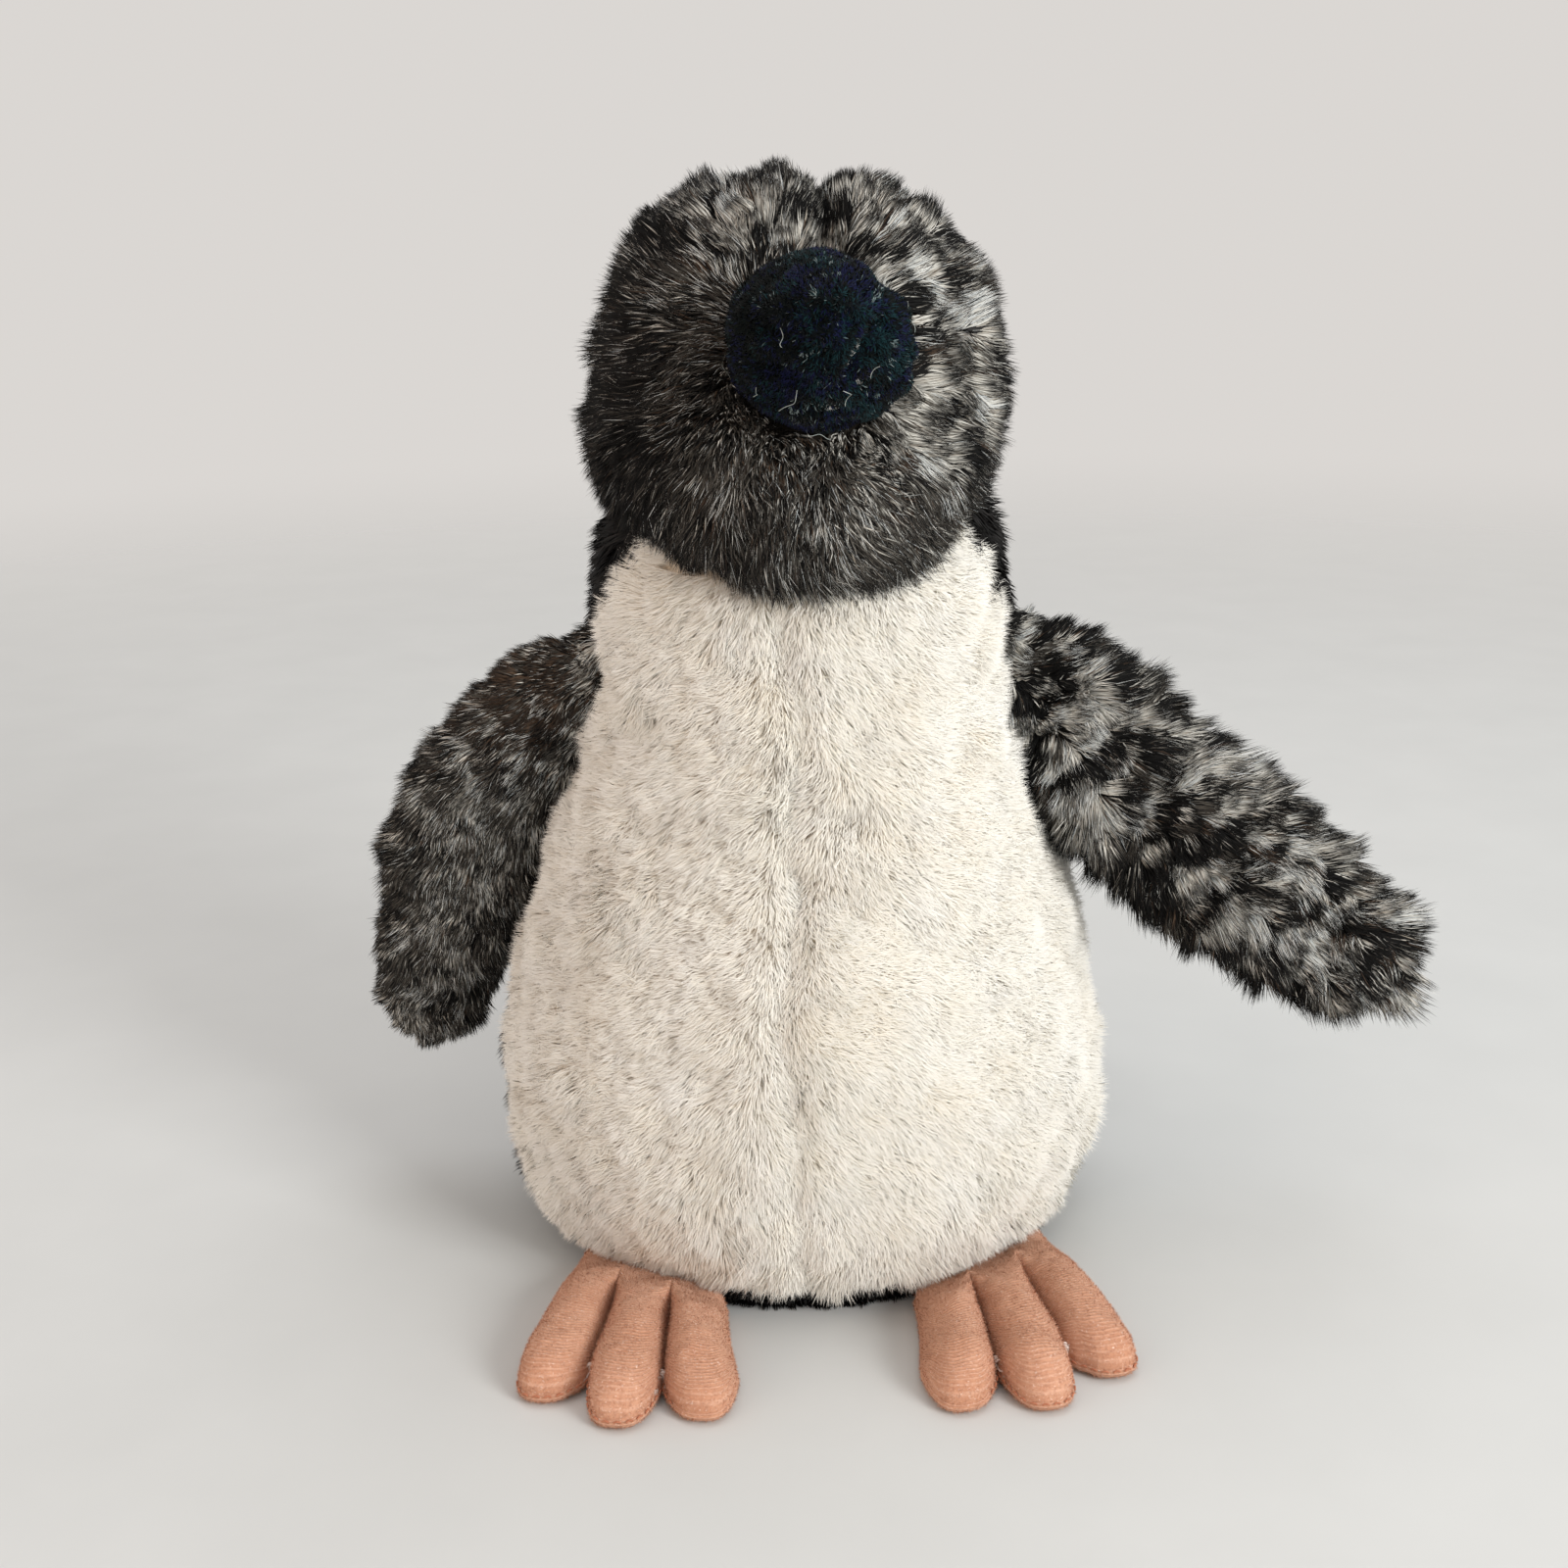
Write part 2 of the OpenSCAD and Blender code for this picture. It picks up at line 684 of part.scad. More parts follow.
module foot_stuffing(side) {
    us = [for (u = reversed(foot_us)) max(-0.97, min(0.97, u))];
    vs = [for (i = [0 : 7]) max(0.03, foot_vs[i])];
    low = sole_t + gap / 2;
    color(white) on_foot(side) fabric(
        [
            for (v = vs)
                [for (u = us) let (p = foot_point(u, v, knit_t + fill_gap)) [p.x, p.y, max(p.z, low + gap)]]
        ],
        [for (v = vs) [for (u = us) let (p = foot_plan(u, v)) [p.x, p.y, low]]]
    );
}

thread_r = 0.4;
thread_lead = 3.4;    // how far out of the cleft a tack sits
// White thread tacks in the two clefts between the toes.
module foot_stitches(side) {
    color(white) on_foot(side)
    for (cleft = [-0.333, 0.333])
        let (p = foot_plan(cleft, 1))
        translate([p.x, p.y - thread_lead, 0.8]) cylinder(r = thread_r, h = 3.6, $fn = 24);
}

// ---------------------------------------------------------------- nodes

belly_panel(1);  // belly_panel_left
belly_panel(-1);  // belly_panel_right
back_panel(1);  // back_panel_left
back_panel(-1);  // back_panel_right
base_panel();
torso_stuffing();
pouch_half(false);  // pellet_pouch_top
pouch_half(true);  // pellet_pouch_bottom
pellet_fill();
closing_stitches();
care_label();
neck_stuffing();
head_panel(1);  // head_panel_left
head_panel(-1);  // head_panel_right
head_stuffing();
beak_half(true);  // beak_upper
beak_half(false);  // beak_lower
beak_stuffing();
eye(1);  // eye_left
eye(-1);  // eye_right
eye_washer(1);  // eye_washer_left
eye_washer(-1);  // eye_washer_right
on_wing(1) wing_skin(false, false, left_bend);  // wing_left_inner_front
on_wing(1) wing_skin(false, true, left_bend);  // wing_left_inner_back
on_wing(1) wing_stuffing(false, left_bend);  // wing_left_inner_stuffing
on_wing(1) wing_skin(true, false, left_bend);  // wing_left_outer_front
on_wing(1) wing_skin(true, true, left_bend);  // wing_left_outer_back
on_wing(1) wing_stuffing(true, left_bend);  // wing_left_outer_stuffing
on_wing(-1) wing_skin(false, false, right_bend);  // wing_right_inner_front
on_wing(-1) wing_skin(false, true, right_bend);  // wing_right_inner_back
on_wing(-1) wing_stuffing(false, right_bend);  // wing_right_inner_stuffing
on_wing(-1) wing_skin(true, false, right_bend);  // wing_right_outer_front
on_wing(-1) wing_skin(true, true, right_bend);  // wing_right_outer_back
on_wing(-1) wing_stuffing(true, right_bend);  // wing_right_outer_stuffing
foot_upper(1);  // foot_left_upper
foot_sole(1);  // foot_left_sole
foot_stuffing(1);  // foot_left_stuffing
foot_stitches(1);  // foot_left_stitches
foot_upper(-1);  // foot_right_upper
foot_sole(-1);  // foot_right_sole
foot_stuffing(-1);  // foot_right_stuffing
foot_stitches(-1);  // foot_right_stitches
tail_skin(true);  // tail_top
tail_skin(false);  // tail_bottom
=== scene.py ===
import json
import math

import bmesh
import bpy
import numpy as np
from mathutils import Euler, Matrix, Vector
from mathutils.bvhtree import BVHTree
from mathutils.kdtree import KDTree


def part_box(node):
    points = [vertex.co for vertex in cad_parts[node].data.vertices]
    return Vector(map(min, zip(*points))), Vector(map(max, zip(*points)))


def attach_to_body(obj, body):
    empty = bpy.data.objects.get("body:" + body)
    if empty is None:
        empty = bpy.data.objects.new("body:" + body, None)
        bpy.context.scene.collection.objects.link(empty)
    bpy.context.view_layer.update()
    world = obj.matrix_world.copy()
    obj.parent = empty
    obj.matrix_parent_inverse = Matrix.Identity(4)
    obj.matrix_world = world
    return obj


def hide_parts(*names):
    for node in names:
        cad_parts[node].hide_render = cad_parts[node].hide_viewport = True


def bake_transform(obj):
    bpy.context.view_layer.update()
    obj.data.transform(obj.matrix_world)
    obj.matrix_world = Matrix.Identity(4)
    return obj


# Lengths are in metres unless a comment says mm, and times MM where they are written in mm.
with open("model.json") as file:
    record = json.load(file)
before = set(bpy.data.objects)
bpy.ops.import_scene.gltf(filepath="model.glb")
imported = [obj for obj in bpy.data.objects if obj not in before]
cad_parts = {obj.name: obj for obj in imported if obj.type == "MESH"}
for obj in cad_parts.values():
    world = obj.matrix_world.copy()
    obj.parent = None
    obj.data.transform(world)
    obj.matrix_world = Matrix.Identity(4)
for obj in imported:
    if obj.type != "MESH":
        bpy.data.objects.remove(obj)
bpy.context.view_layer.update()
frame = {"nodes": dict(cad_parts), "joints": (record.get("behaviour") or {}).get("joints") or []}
nodes = frame["nodes"]
joints = {j["name"]: j for j in frame["joints"]}
MM = 0.001
DENSITY = 1.0      # share of the pile's strands


# ---------------------------------------------------------------- numbers

def smooth(t):
    t = np.clip(t, 0, 1)
    return t * t * (3 - 2 * t)


def unit(v):
    return v / np.maximum(np.linalg.norm(v, axis=-1, keepdims=True), 1e-12)


def dot(a, b):
    return (a * b).sum(-1, keepdims=True)


def waves(p, size, seed, count=9):
    """Smooth noise at points p, of that size and about unit spread."""
    r = np.random.default_rng(seed)
    d = unit(r.normal(size=(count, 3)))
    f = r.uniform(0.6, 1.5, count) * 2 * np.pi / size
    return np.sin((p @ d.T) * f + r.uniform(0, 2 * np.pi, count)).sum(1) * math.sqrt(2 / count)


def bump_of(d, width):
    """1 where d is 0, and nearly 0 from twice that width."""
    return np.exp(-((d / width) ** 2))


def turned(x=0, y=0, z=0):
    """A turn about one axis, in degrees, as a matrix."""
    return np.array(Euler([math.radians(a) for a in (x, y, z)]).to_matrix())


# ---------------------------------------------------------------- meshes

def grid_quads(rows, cols, wrap=False):
    i = np.arange(rows - 1)[:, None]
    j = np.arange(cols if wrap else cols - 1)[None, :]
    k = (j + 1) % cols
    return np.stack([i * cols + j, i * cols + k, (i + 1) * cols + k, (i + 1) * cols + j], -1).reshape(-1, 4)


def triangles(quads):
    return np.concatenate([quads[:, [0, 1, 2]], quads[:, [0, 2, 3]]])


def vertex_normals(co, tri):
    n = np.cross(co[tri[:, 1]] - co[tri[:, 0]], co[tri[:, 2]] - co[tri[:, 0]])
    out = np.zeros_like(co)
    for k in range(3):
        np.add.at(out, tri[:, k], n)
    return unit(out)


def build(name, co, faces, material, uv=None, normals=None):
    """A mesh object from points and lists of faces. uv and normals are per point."""
    me = bpy.data.meshes.new(name)
    loops = np.concatenate([f.ravel() for f in faces]).astype(np.int32)
    sizes = np.concatenate([np.full(len(f), f.shape[1]) for f in faces])
    me.vertices.add(len(co))
    me.vertices.foreach_set("co", co.astype(np.float32).ravel())
    me.loops.add(len(loops))
    me.loops.foreach_set("vertex_index", loops)
    me.polygons.add(len(sizes))
    me.polygons.foreach_set("loop_start", np.concatenate([[0], np.cumsum(sizes)[:-1]]).astype(np.int32))
    me.update(calc_edges=True)
    me.polygons.foreach_set("use_smooth", np.full(len(sizes), True))
    if uv is not None:
        layer = me.uv_layers.new(name="OFBake")
        layer.uv.foreach_set("vector", uv[loops].astype(np.float32).ravel())
    if normals is not None:
        me.attributes.new("custom_normal", "FLOAT_VECTOR", "POINT").data.foreach_set(
            "vector", normals.astype(np.float32).ravel())
    me.update()
    me.materials.append(material)
    obj = bpy.data.objects.new(name, me)
    bpy.context.scene.collection.objects.link(obj)
    return obj


def node_points(names):
    """Points and triangles of CAD nodes together."""
    co, tri, n = [], [], 0
    for name in names:
        me = nodes[name].data
        me.calc_loop_triangles()
        c = np.zeros(len(me.vertices) * 3, np.float32)
        me.vertices.foreach_get("co", c)
        t = np.zeros(len(me.loop_triangles) * 3, np.int32)
        me.loop_triangles.foreach_get("vertices", t)
        co.append(c.reshape(-1, 3).astype(float))
        tri.append(t.reshape(-1, 3) + n)
        n += len(co[-1])
    return np.concatenate(co), np.concatenate(tri)


def tree_of(names):
    co, tri = node_points(names)
    return BVHTree.FromPolygons(co.tolist(), tri.tolist())


def hull_tree(names):
    co, _ = node_points(names)
    bm = bmesh.new()
    for c in co:
        bm.verts.new(c)
    bmesh.ops.convex_hull(bm, input=bm.verts)
    tree = BVHTree.FromBMesh(bm)
    bm.free()
    return tree


def tube(points, radius, sides=6):
    """Points and quads of a thread along points."""
    p = np.asarray(points, float)
    t = unit(np.gradient(p, axis=0))
    a = unit(np.cross(t, np.array([0.3, 0.2, 0.93])))
    b = np.cross(t, a)
    k = np.arange(sides) * 2 * np.pi / sides
    round_it = a[:, None] * np.cos(k)[None, :, None] + b[:, None] * np.sin(k)[None, :, None]
    return (p[:, None] + radius * round_it).reshape(-1, 3), grid_quads(len(p), sides, True)


def threads(name, lines, radius, material):
    co, faces, n = [], [], 0
    for line in lines:
        c, f = tube(line, radius)
        co.append(c)
        faces.append(f + n)
        n += len(c)
    return build(name, np.concatenate(co), faces, material)


# ---------------------------------------------------------------- materials

def rgb(code):
    c = [int(code[i:i + 2], 16) / 255 for i in (0, 2, 4)]
    return (*(x / 12.92 if x <= 0.04045 else ((x + 0.055) / 1.055) ** 2.4 for x in c), 1.0)


class Shader:
    """A Principled material with a few helpers to add nodes."""

    def __init__(self, name, rough=0.85, specular=0.2, sheen=0.0, sheen_tint="ffffff"):
        self.material = bpy.data.materials.new(name)
        self.material.use_nodes = True
        self.tree = self.material.node_tree
        self.main = self.tree.nodes["Principled BSDF"]
        for socket, value in (("Roughness", rough), ("Specular IOR Level", specular),
                              ("Sheen Weight", sheen), ("Sheen Tint", rgb(sheen_tint))):
            self.main.inputs[socket].default_value = value

    def node(self, kind, **settings):
        n = self.tree.nodes.new("ShaderNode" + kind)
        for k, v in settings.items():
            setattr(n, k, v)
        return n

    def link(self, a, b):
        self.tree.links.new(a, b)

    def feed(self, socket, value):
        """Sets a socket to a number or a colour, or links another socket to it."""
        if isinstance(value, str):
            socket.default_value = rgb(value)
        elif isinstance(value, (int, float)):
            socket.default_value = value
        elif value is not None:
            self.link(value, socket)

    def ramp(self, fac, stops, mode="LINEAR"):
        """Colours or numbers at places from 0 to 1, with a blend between them."""
        n = self.node("ValToRGB")
        n.color_ramp.interpolation = mode
        e = n.color_ramp.elements
        while len(e) < len(stops):
            e.new(0.5)
        for i, (at, colour) in enumerate(stops):
            e[i].position = at
            e[i].color = rgb(colour) if isinstance(colour, str) else (colour, colour, colour, 1)
        self.link(fac, n.inputs[0])
        return n.outputs[0]

    def mix(self, fac, a, b):
        n = self.node("Mix", data_type="RGBA")
        for i, value in ((0, fac), (6, a), (7, b)):
            self.feed(n.inputs[i], value)
        return n.outputs[2]

    def math(self, op, a, b=None):
        n = self.node("Math", operation=op)
        self.feed(n.inputs[0], a)
        self.feed(n.inputs[1], b)
        return n.outputs[0]

    def place(self, scale=1.0):
        """The object's own coordinates, in mm times scale."""
        c, m = self.node("TexCoord"), self.node("Mapping")
        m.inputs["Scale"].default_value = [1000 * scale] * 3
        self.link(c.outputs["Object"], m.inputs["Vector"])
        return m.outputs[0]

    def texture(self, kind, vector, scale, output=0, **settings):
        n = self.node(kind, **settings)
        n.inputs["Scale"].default_value = scale
        self.link(vector, n.inputs["Vector"])
        return n.outputs[output]

    def noise(self, vector, scale, detail=3, rough=0.55):
        out = self.texture("TexNoise", vector, scale)
        out.node.inputs["Detail"].default_value = detail
        out.node.inputs["Roughness"].default_value = rough
        return out

    def bands(self, scale, direction):
        """Waves along the object's own X, Y or Z."""
        return self.texture("TexWave", self.place(), scale, 1, wave_type="BANDS", bands_direction=direction)

    def strand_map(self):
        """The map's two coordinates, and both together."""
        uv, part = self.node("UVMap", uv_map="OFBake"), self.node("SeparateXYZ")
        self.link(uv.outputs[0], part.inputs[0])
        return part.outputs[0], part.outputs[1], uv.outputs[0]

    def bump(self, height, depth_mm, strength):
        n = self.node("Bump")
        n.inputs["Strength"].default_value = strength
        n.inputs["Distance"].default_value = depth_mm * MM
        self.link(height, n.inputs["Height"])
        self.link(n.outputs[0], self.main.inputs["Normal"])

    def colour(self, socket):
        self.link(socket, self.main.inputs["Base Color"])
        return self.material

    def mottle(self, scale, dark, light, detail=3):
        """A colour that drifts between two."""
        return self.colour(self.ramp(self.noise(self.place(), scale, detail), [(0.3, dark), (0.7, light)]))


def pile_material(name, places, roots, mids, tips, turns=(0.5, 0.92), **surface):
    """A strand's colour: across the map the shade of the strand, up the map its root to its tip.

    places are where the colours of roots, mids and tips stand across the map, and turns is
    where up the map the tip's colour starts and takes over.
    """
    s = Shader(name, **surface)
    shade, up, _ = s.strand_map()
    root, mid, tip = (s.ramp(shade, list(zip(places, codes.split()))) for codes in (roots, mids, tips))
    low = s.mix(s.ramp(up, [(0, 0.0), (0.42, 1.0)]), root, mid)
    return s.colour(s.mix(s.ramp(up, [(turns[0], 0.0), (turns[1], 1.0)]), low, tip))


def backing_material(name, dark, light):
    """The cloth under the pile."""
    s = Shader(name, rough=0.95, specular=0.1)
    p = s.place()
    fine, broad = s.noise(p, 1.6, 2), s.noise(p, 0.09, 3)
    s.bump(fine, 0.6, 0.6)
    drift = s.mix(s.ramp(broad, [(0.35, 0.0), (0.65, 1.0)]), dark, light)
    return s.colour(s.mix(s.ramp(fine, [(0.3, 0.75), (0.7, 1.0)]), "000000", drift))


# Bands of shades across the map: dark, frosted, taupe, brown and pale.
FROST_BANDS = ((0, 0.24), (0.27, 0.54), (0.57, 0.74), (0.77, 0.86), (0.89, 1.0))
frost_pile = pile_material(
    "frost_pile", (0, 0.24, 0.27, 0.42, 0.54, 0.57, 0.74, 0.77, 0.86, 0.89, 1),
    "0a0a0a 131211 85837d a5a49f 7a746b 45413b 6a655e 463a31 5f4d40 a9aeb0 c9c6bd",
    "080808 100f0e b4b2aa dedcd4 9a9184 403d38 67635c 40342b 594738 c6cdd0 e4e2da",
    "060606 0a0a09 080808 100f0e 0d0c0b 24211e 49453f 201915 2e251e d3dadc f1efe8",
    (0.58, 0.82), rough=0.75, specular=0.2)
# The cream pile's roots are darker and warmer than its tips: painted shade deep in the pile.
cream_pile = pile_material(
    "cream_pile", (0, 0.5, 1), "e6d5bb efe4d1 f3ecdf", "ede5d5 f3efe4 f5f3ec", "f2efe6 f6f4ed f8f7f3",
    rough=0.8, specular=0.2, sheen=0.15)
black_pile = pile_material(
    "black_pile", (0, 0.7, 1), "060606 0c0b0b 1a1817", "070707 100f0f 242120", "0a0a0a 161514 3a3633",
    rough=0.65, specular=0.3)
# Bands: black green, navy, teal and lint.
VELOUR_BANDS = ((0, 0.3), (0.33, 0.6), (0.63, 0.9), (0.93, 1.0))
velour = pile_material(
    "velour_nap", [at for band in VELOUR_BANDS for at in band],
    "030405 060b0a 080a18 0d1026 08161a 0c2024 3a4a4c 5a6668",
    "050708 0c1513 0e1230 171c40 0e2429 163439 55686a 7f8c8c",
    "040606 0d1715 0e1234 191f48 0c272b 16393d 7e9092 a5b0ae",
    rough=0.85, specular=0.1, sheen=0.05)
fuzz = pile_material(
    "terracotta_fuzz", (0, 1), "b67f64 c99578", "c89478 dcac91", "d8a68b f3d3bd", rough=0.85, specular=0.2)
cream_backing = backing_material("cream_backing", "efe0c8", "f5ead8")
black_backing = backing_material("black_backing", "070706", "100f0e")
frost_backing = backing_material("frost_backing", "15120f", "3a342d")


# ---------------------------------------------------------------- pile

SHADES = 64                    # steps across the map
MOST_FACES = 190000            # of one piece: the export thins those of over 200,000 triangles


class Skin:
    """A surface that pile grows on: points, triangles and normals."""

    def __init__(self, co, tri):
        self.co, self.tri = co, tri
        self.normal = vertex_normals(co, tri)

    def roots(self, count, rng, share):
        """Random points spread over it, and its normals there. share thins them, point by point."""
        a, b, c = (self.co[self.tri[:, k]] for k in range(3))
        area = np.linalg.norm(np.cross(b - a, c - a), axis=1) * share((a + b + c) / 3)
        face = rng.choice(len(area), int(count * DENSITY), p=area / area.sum())
        u, v = rng.random(len(face)), rng.random(len(face))
        over = u + v > 1
        u[over], v[over] = 1 - u[over], 1 - v[over]
        w = np.stack([1 - u - v, u, v], 1)[:, :, None]
        corners = self.tri[face]
        return (self.co[corners] * w).sum(1), unit((self.normal[corners] * w).sum(1))


def strand_paths(p, n, comb, length, lean, curl, rng, steps=2):
    """Points along each strand. comb is the way it is brushed, lean its angles from n at root and tip."""
    t = unit(comb - n * dot(comb, n))
    b = np.cross(n, t)
    turn = rng.normal(0, curl, len(p))[:, None]
    more = rng.normal(0, curl * 0.6, len(p))[:, None]
    out = [p]
    for i in range(steps):
        k = (i + 0.5) / steps
        a = (lean[0] + (lean[1] - lean[0]) * k)[:, None]
        way = turn + more * k
        d = n * np.cos(a) + (t * np.cos(way) + b * np.sin(way)) * np.sin(a)
        out.append(out[-1] + d * length[:, None] / steps)
    return np.stack(out, 1)


def gather(paths, clump, pull, rng):
    """Draws the tips of neighbouring strands together into tufts of that size.

    Returns each strand's tuft and the number of tufts.
    """
    p = paths[:, 0]
    x, y, z = p.max(0) - p.min(0)
    count = max(8, min(len(p) // 3, int((x * y + y * z + x * z) * 1.6 / clump**2)))
    seeds = rng.choice(len(p), count, replace=False)
    tree = KDTree(count)
    for i, s in enumerate(seeds):
        tree.insert(p[s], i)
    tree.balance()
    tuft = np.fromiter((tree.find(q)[1] for q in p), int, len(p))
    centre = paths[seeds][tuft]
    strength = pull * rng.uniform(0.75, 1.1, count)[tuft]
    share = np.linspace(0, 1, paths.shape[1])[None, :, None] ** 1.1 * strength[:, None, None]
    paths += (centre - paths) * share
    return tuft, count


def tones(rng, tuft, count, by_tuft, own):
    """A number for each strand, part its tuft's and part its own."""
    return rng.random(count)[tuft] * by_tuft + rng.random(len(tuft)) * own


def shades(rng, bands, pick, mix):
    """Each strand's shade. mix holds its shares of the bands, and pick, 0 to 1, falls in one of them."""
    edges = np.cumsum(mix, 1)
    edges /= edges[:, -1:]
    kind = (pick[:, None] > edges[:, :-1]).sum(1)
    starts, ends = np.array(bands).T
    return starts[kind] + (ends - starts)[kind] * rng.random(len(pick))


def dress(obj, attach, stands=()):
    """Ties a piece to its body and hides the nodes it stands for."""
    attach(obj)
    if stands:
        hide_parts(*stands)


def on_body(body):
    return lambda obj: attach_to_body(obj, body)


def between():
    return lambda obj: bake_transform(obj)


def make_pile(name, paths, n, width, shade, material, slot, attach, roll=0.6, lift=0.55, lowest=0.0):
    """Ribbons along the strands, in pieces small enough to export whole.

    width is half a ribbon's, roll turns ribbons about themselves, lift draws their normals
    towards the skin's, and nothing goes below lowest.
    """
    count, steps = len(paths), paths.shape[1] - 1
    rng = np.random.default_rng(len(name) * 1000 + 7)
    paths[:, :, 2] = np.maximum(paths[:, :, 2], lowest)
    whole = unit(paths[:, -1] - paths[:, 0])
    side = unit(np.cross(whole, n) + 1e-9)
    face = np.cross(side, whole)
    a = rng.normal(0, roll, count)[:, None]
    side, face = side * np.cos(a) + face * np.sin(a), face * np.cos(a) - side * np.sin(a)
    taper = np.array([1.0, 0.8])[None, :steps, None]
    half = (width * rng.uniform(0.7, 1.3, count))[:, None, None] * taper
    size = 2 * steps + 1
    co = np.empty((count, size, 3))
    co[:, 0:-1:2] = paths[:, :-1] - side[:, None] * half
    co[:, 1:-1:2] = paths[:, :-1] + side[:, None] * half
    co[:, -1] = paths[:, -1]
    co[:, :, 2] = np.maximum(co[:, :, 2], 0.5 * lowest)
    edge = np.array([-1, 1] * steps + [0])
    normal = unit(face * (1 - lift) + n * lift)[:, None] + side[:, None] * (edge * 0.35)[None, :, None]
    cell = np.clip((np.floor(shade * SHADES) + 0.5) / SHADES, 0.5 / SHADES, 1 - 0.5 / SHADES)
    uv = np.empty((count, size, 2))
    uv[:, :, 0] = cell[:, None] + edge[None] * 0.3 / SHADES
    uv[:, :, 1] = 0.01 + 0.98 * (np.arange(size) // 2)[None] / steps
    corner = np.arange(steps - 1)[:, None] * 2 + np.array([[0, 1, 3, 2]])
    tips = np.array([[size - 3, size - 2, size - 1]])
    parts = max(1, math.ceil(count * (2 * steps - 1) / MOST_FACES))
    for k in range(parts):
        pick = slice(k * count // parts, (k + 1) * count // parts)
        at = (np.arange(pick.stop - pick.start) * size)[:, None, None]
        faces = [(tips[None] + at).reshape(-1, 3)]
        if steps > 1:
            faces.insert(0, (corner[None] + at).reshape(-1, 4))
        label = f"{name}_{k + 1}" if parts > 1 else name
        points, places = co[pick].reshape(-1, 3), uv[pick].reshape(-1, 2)
        obj = build(label, points, faces, material, places, unit(normal[pick]).reshape(-1, 3))
        dress(obj, attach)


# ---------------------------------------------------------------- torso

TORSO = ["belly_panel_left", "belly_panel_right", "back_panel_left", "back_panel_right", "base_panel"]
torso_tree = tree_of(TORSO)
torso_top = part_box("belly_panel_left")[1].z
SEAM_Z = np.array([0, 40, 85, 120, 150, 175]) * MM
SEAM_DEG = np.array([80, 88, 97, 93, 76, 60])       # the side seams, from the front
BELLY_SEAM = -6.0                                   # degrees from the front
HEM = 8 * MM
BELLY_Z, SHOULDER_Z = 38 * MM, 150 * MM
DOWN = np.array([0, 0, -1.0])
k = np.linspace(0.02, 1, 18)
rise = BELLY_Z * (1 - np.cos(k * np.pi / 2))
straight = np.linspace(BELLY_Z, SHOULDER_Z, 48)[1:]
k = np.linspace(0, 1, 14)[1:]
close = SHOULDER_Z + (torso_top - 0.4 * MM - SHOULDER_Z) * np.sin(k * np.pi / 2)
rows_z = np.concatenate([rise, straight, close])

seam_deg = np.interp(rows_z, SEAM_Z, SEAM_DEG)[:, None]
BELLY_COLS, BACK_COLS = 150, 130
u = np.linspace(-1, 1, BELLY_COLS + 1)[None]
v = np.linspace(0, 1, BACK_COLS + 1)[None, 1:-1]
angles = np.concatenate([u * seam_deg, seam_deg + v * (360 - 2 * seam_deg)], 1)
COLS = angles.shape[1]


def middle_y(z):
    """The torso's middle comes forward above the shoulder."""
    return np.interp(z, [0, SHOULDER_Z, torso_top], [0, 0, -5 * MM])


def cast_radius(tree, origin, direction, far=0.2):
    hit = tree.ray_cast(Vector(origin + direction * far), Vector(-direction), far)
    return far - hit[3] if hit[3] is not None else np.nan


radius = np.empty_like(angles)
mid_y = middle_y(rows_z)
for i, z in enumerate(rows_z):
    for j, a in enumerate(np.radians(angles[i])):
        out = np.array([math.sin(a), -math.cos(a), 0])
        radius[i, j] = cast_radius(torso_tree, np.array([0, mid_y[i], z]), out)
radius = np.where(np.isnan(radius), np.nanmean(radius, 1, keepdims=True), radius)
for _ in range(6):                                  # the CAD's facets go
    radius = (np.roll(radius, 1, 1) + 2 * radius + np.roll(radius, -1, 1)) / 4
    inner = (radius[:-2] + 2 * radius[1:-1] + radius[2:]) / 4
    radius[8:-1] = inner[7:]

a = np.radians(angles)
level = np.repeat(rows_z[:, None], COLS, 1)
torso_co = np.stack([radius * np.sin(a), mid_y[:, None] - radius * np.cos(a), level], -1)
flat = torso_co.reshape(-1, 3)
torso_quads = grid_quads(len(rows_z), COLS, True)
torso_normal = vertex_normals(flat, triangles(torso_quads)).reshape(torso_co.shape)
side_gap = np.minimum(abs(angles - seam_deg), abs(angles - 360 + seam_deg))
side_gap = np.minimum(side_gap, abs(angles + seam_deg))
# how far each point is from the middle, side and back seams
seam_far = np.radians(np.stack([abs(angles - BELLY_SEAM), side_gap, abs(angles - 180)])) * radius
lumps = (0.8 * waves(flat, 55 * MM, 1) + 0.45 * waves(flat, 22 * MM, 2)).reshape(radius.shape) * MM
fade = smooth((rows_z - 3 * MM) / (12 * MM))[:, None]
wander = 1.3 * np.sin(rows_z / MM / 17 + 1) + 0.8 * np.sin(rows_z / MM / 6.5)
middle_far = np.radians(angles - BELLY_SEAM) * radius / MM - wander[:, None]
middle_far = np.where(abs(angles) < 60, middle_far, 99)
press = 1.5 * bump_of(middle_far, 3.2)
for seam, deep in ((1, 1.5), (2, 1.3)):
    press = press + deep * bump_of(seam_far[seam] / MM, 2.6)
pucker = 0.35 * np.sin(rows_z / MM * 1.1)[:, None] * bump_of(seam_far[0] / MM, 6)
hem = bump_of((rows_z - HEM) / MM, 2.0)[:, None]
proud = lumps * fade - (press + pucker) * MM * np.maximum(fade, 0.3) - hem * MM
torso_co = torso_co + torso_normal * proud[..., None]
front = smooth((75 - abs((angles + 180) % 360 - 180)) / 40)
tuck = 7 * MM * front * smooth((rows_z - 158 * MM) / (15 * MM))[:, None]
torso_co[..., :2] -= torso_normal[..., :2] * tuck[..., None]
torso_co[..., 2] = np.maximum(torso_co[..., 2], 0.3 * MM)


def ring(co, share, z):
    """A row drawn in to that share of its width, at height z."""
    mid = co.mean(0)
    out = mid + (co - mid) * share
    out[:, 2] = z
    return out


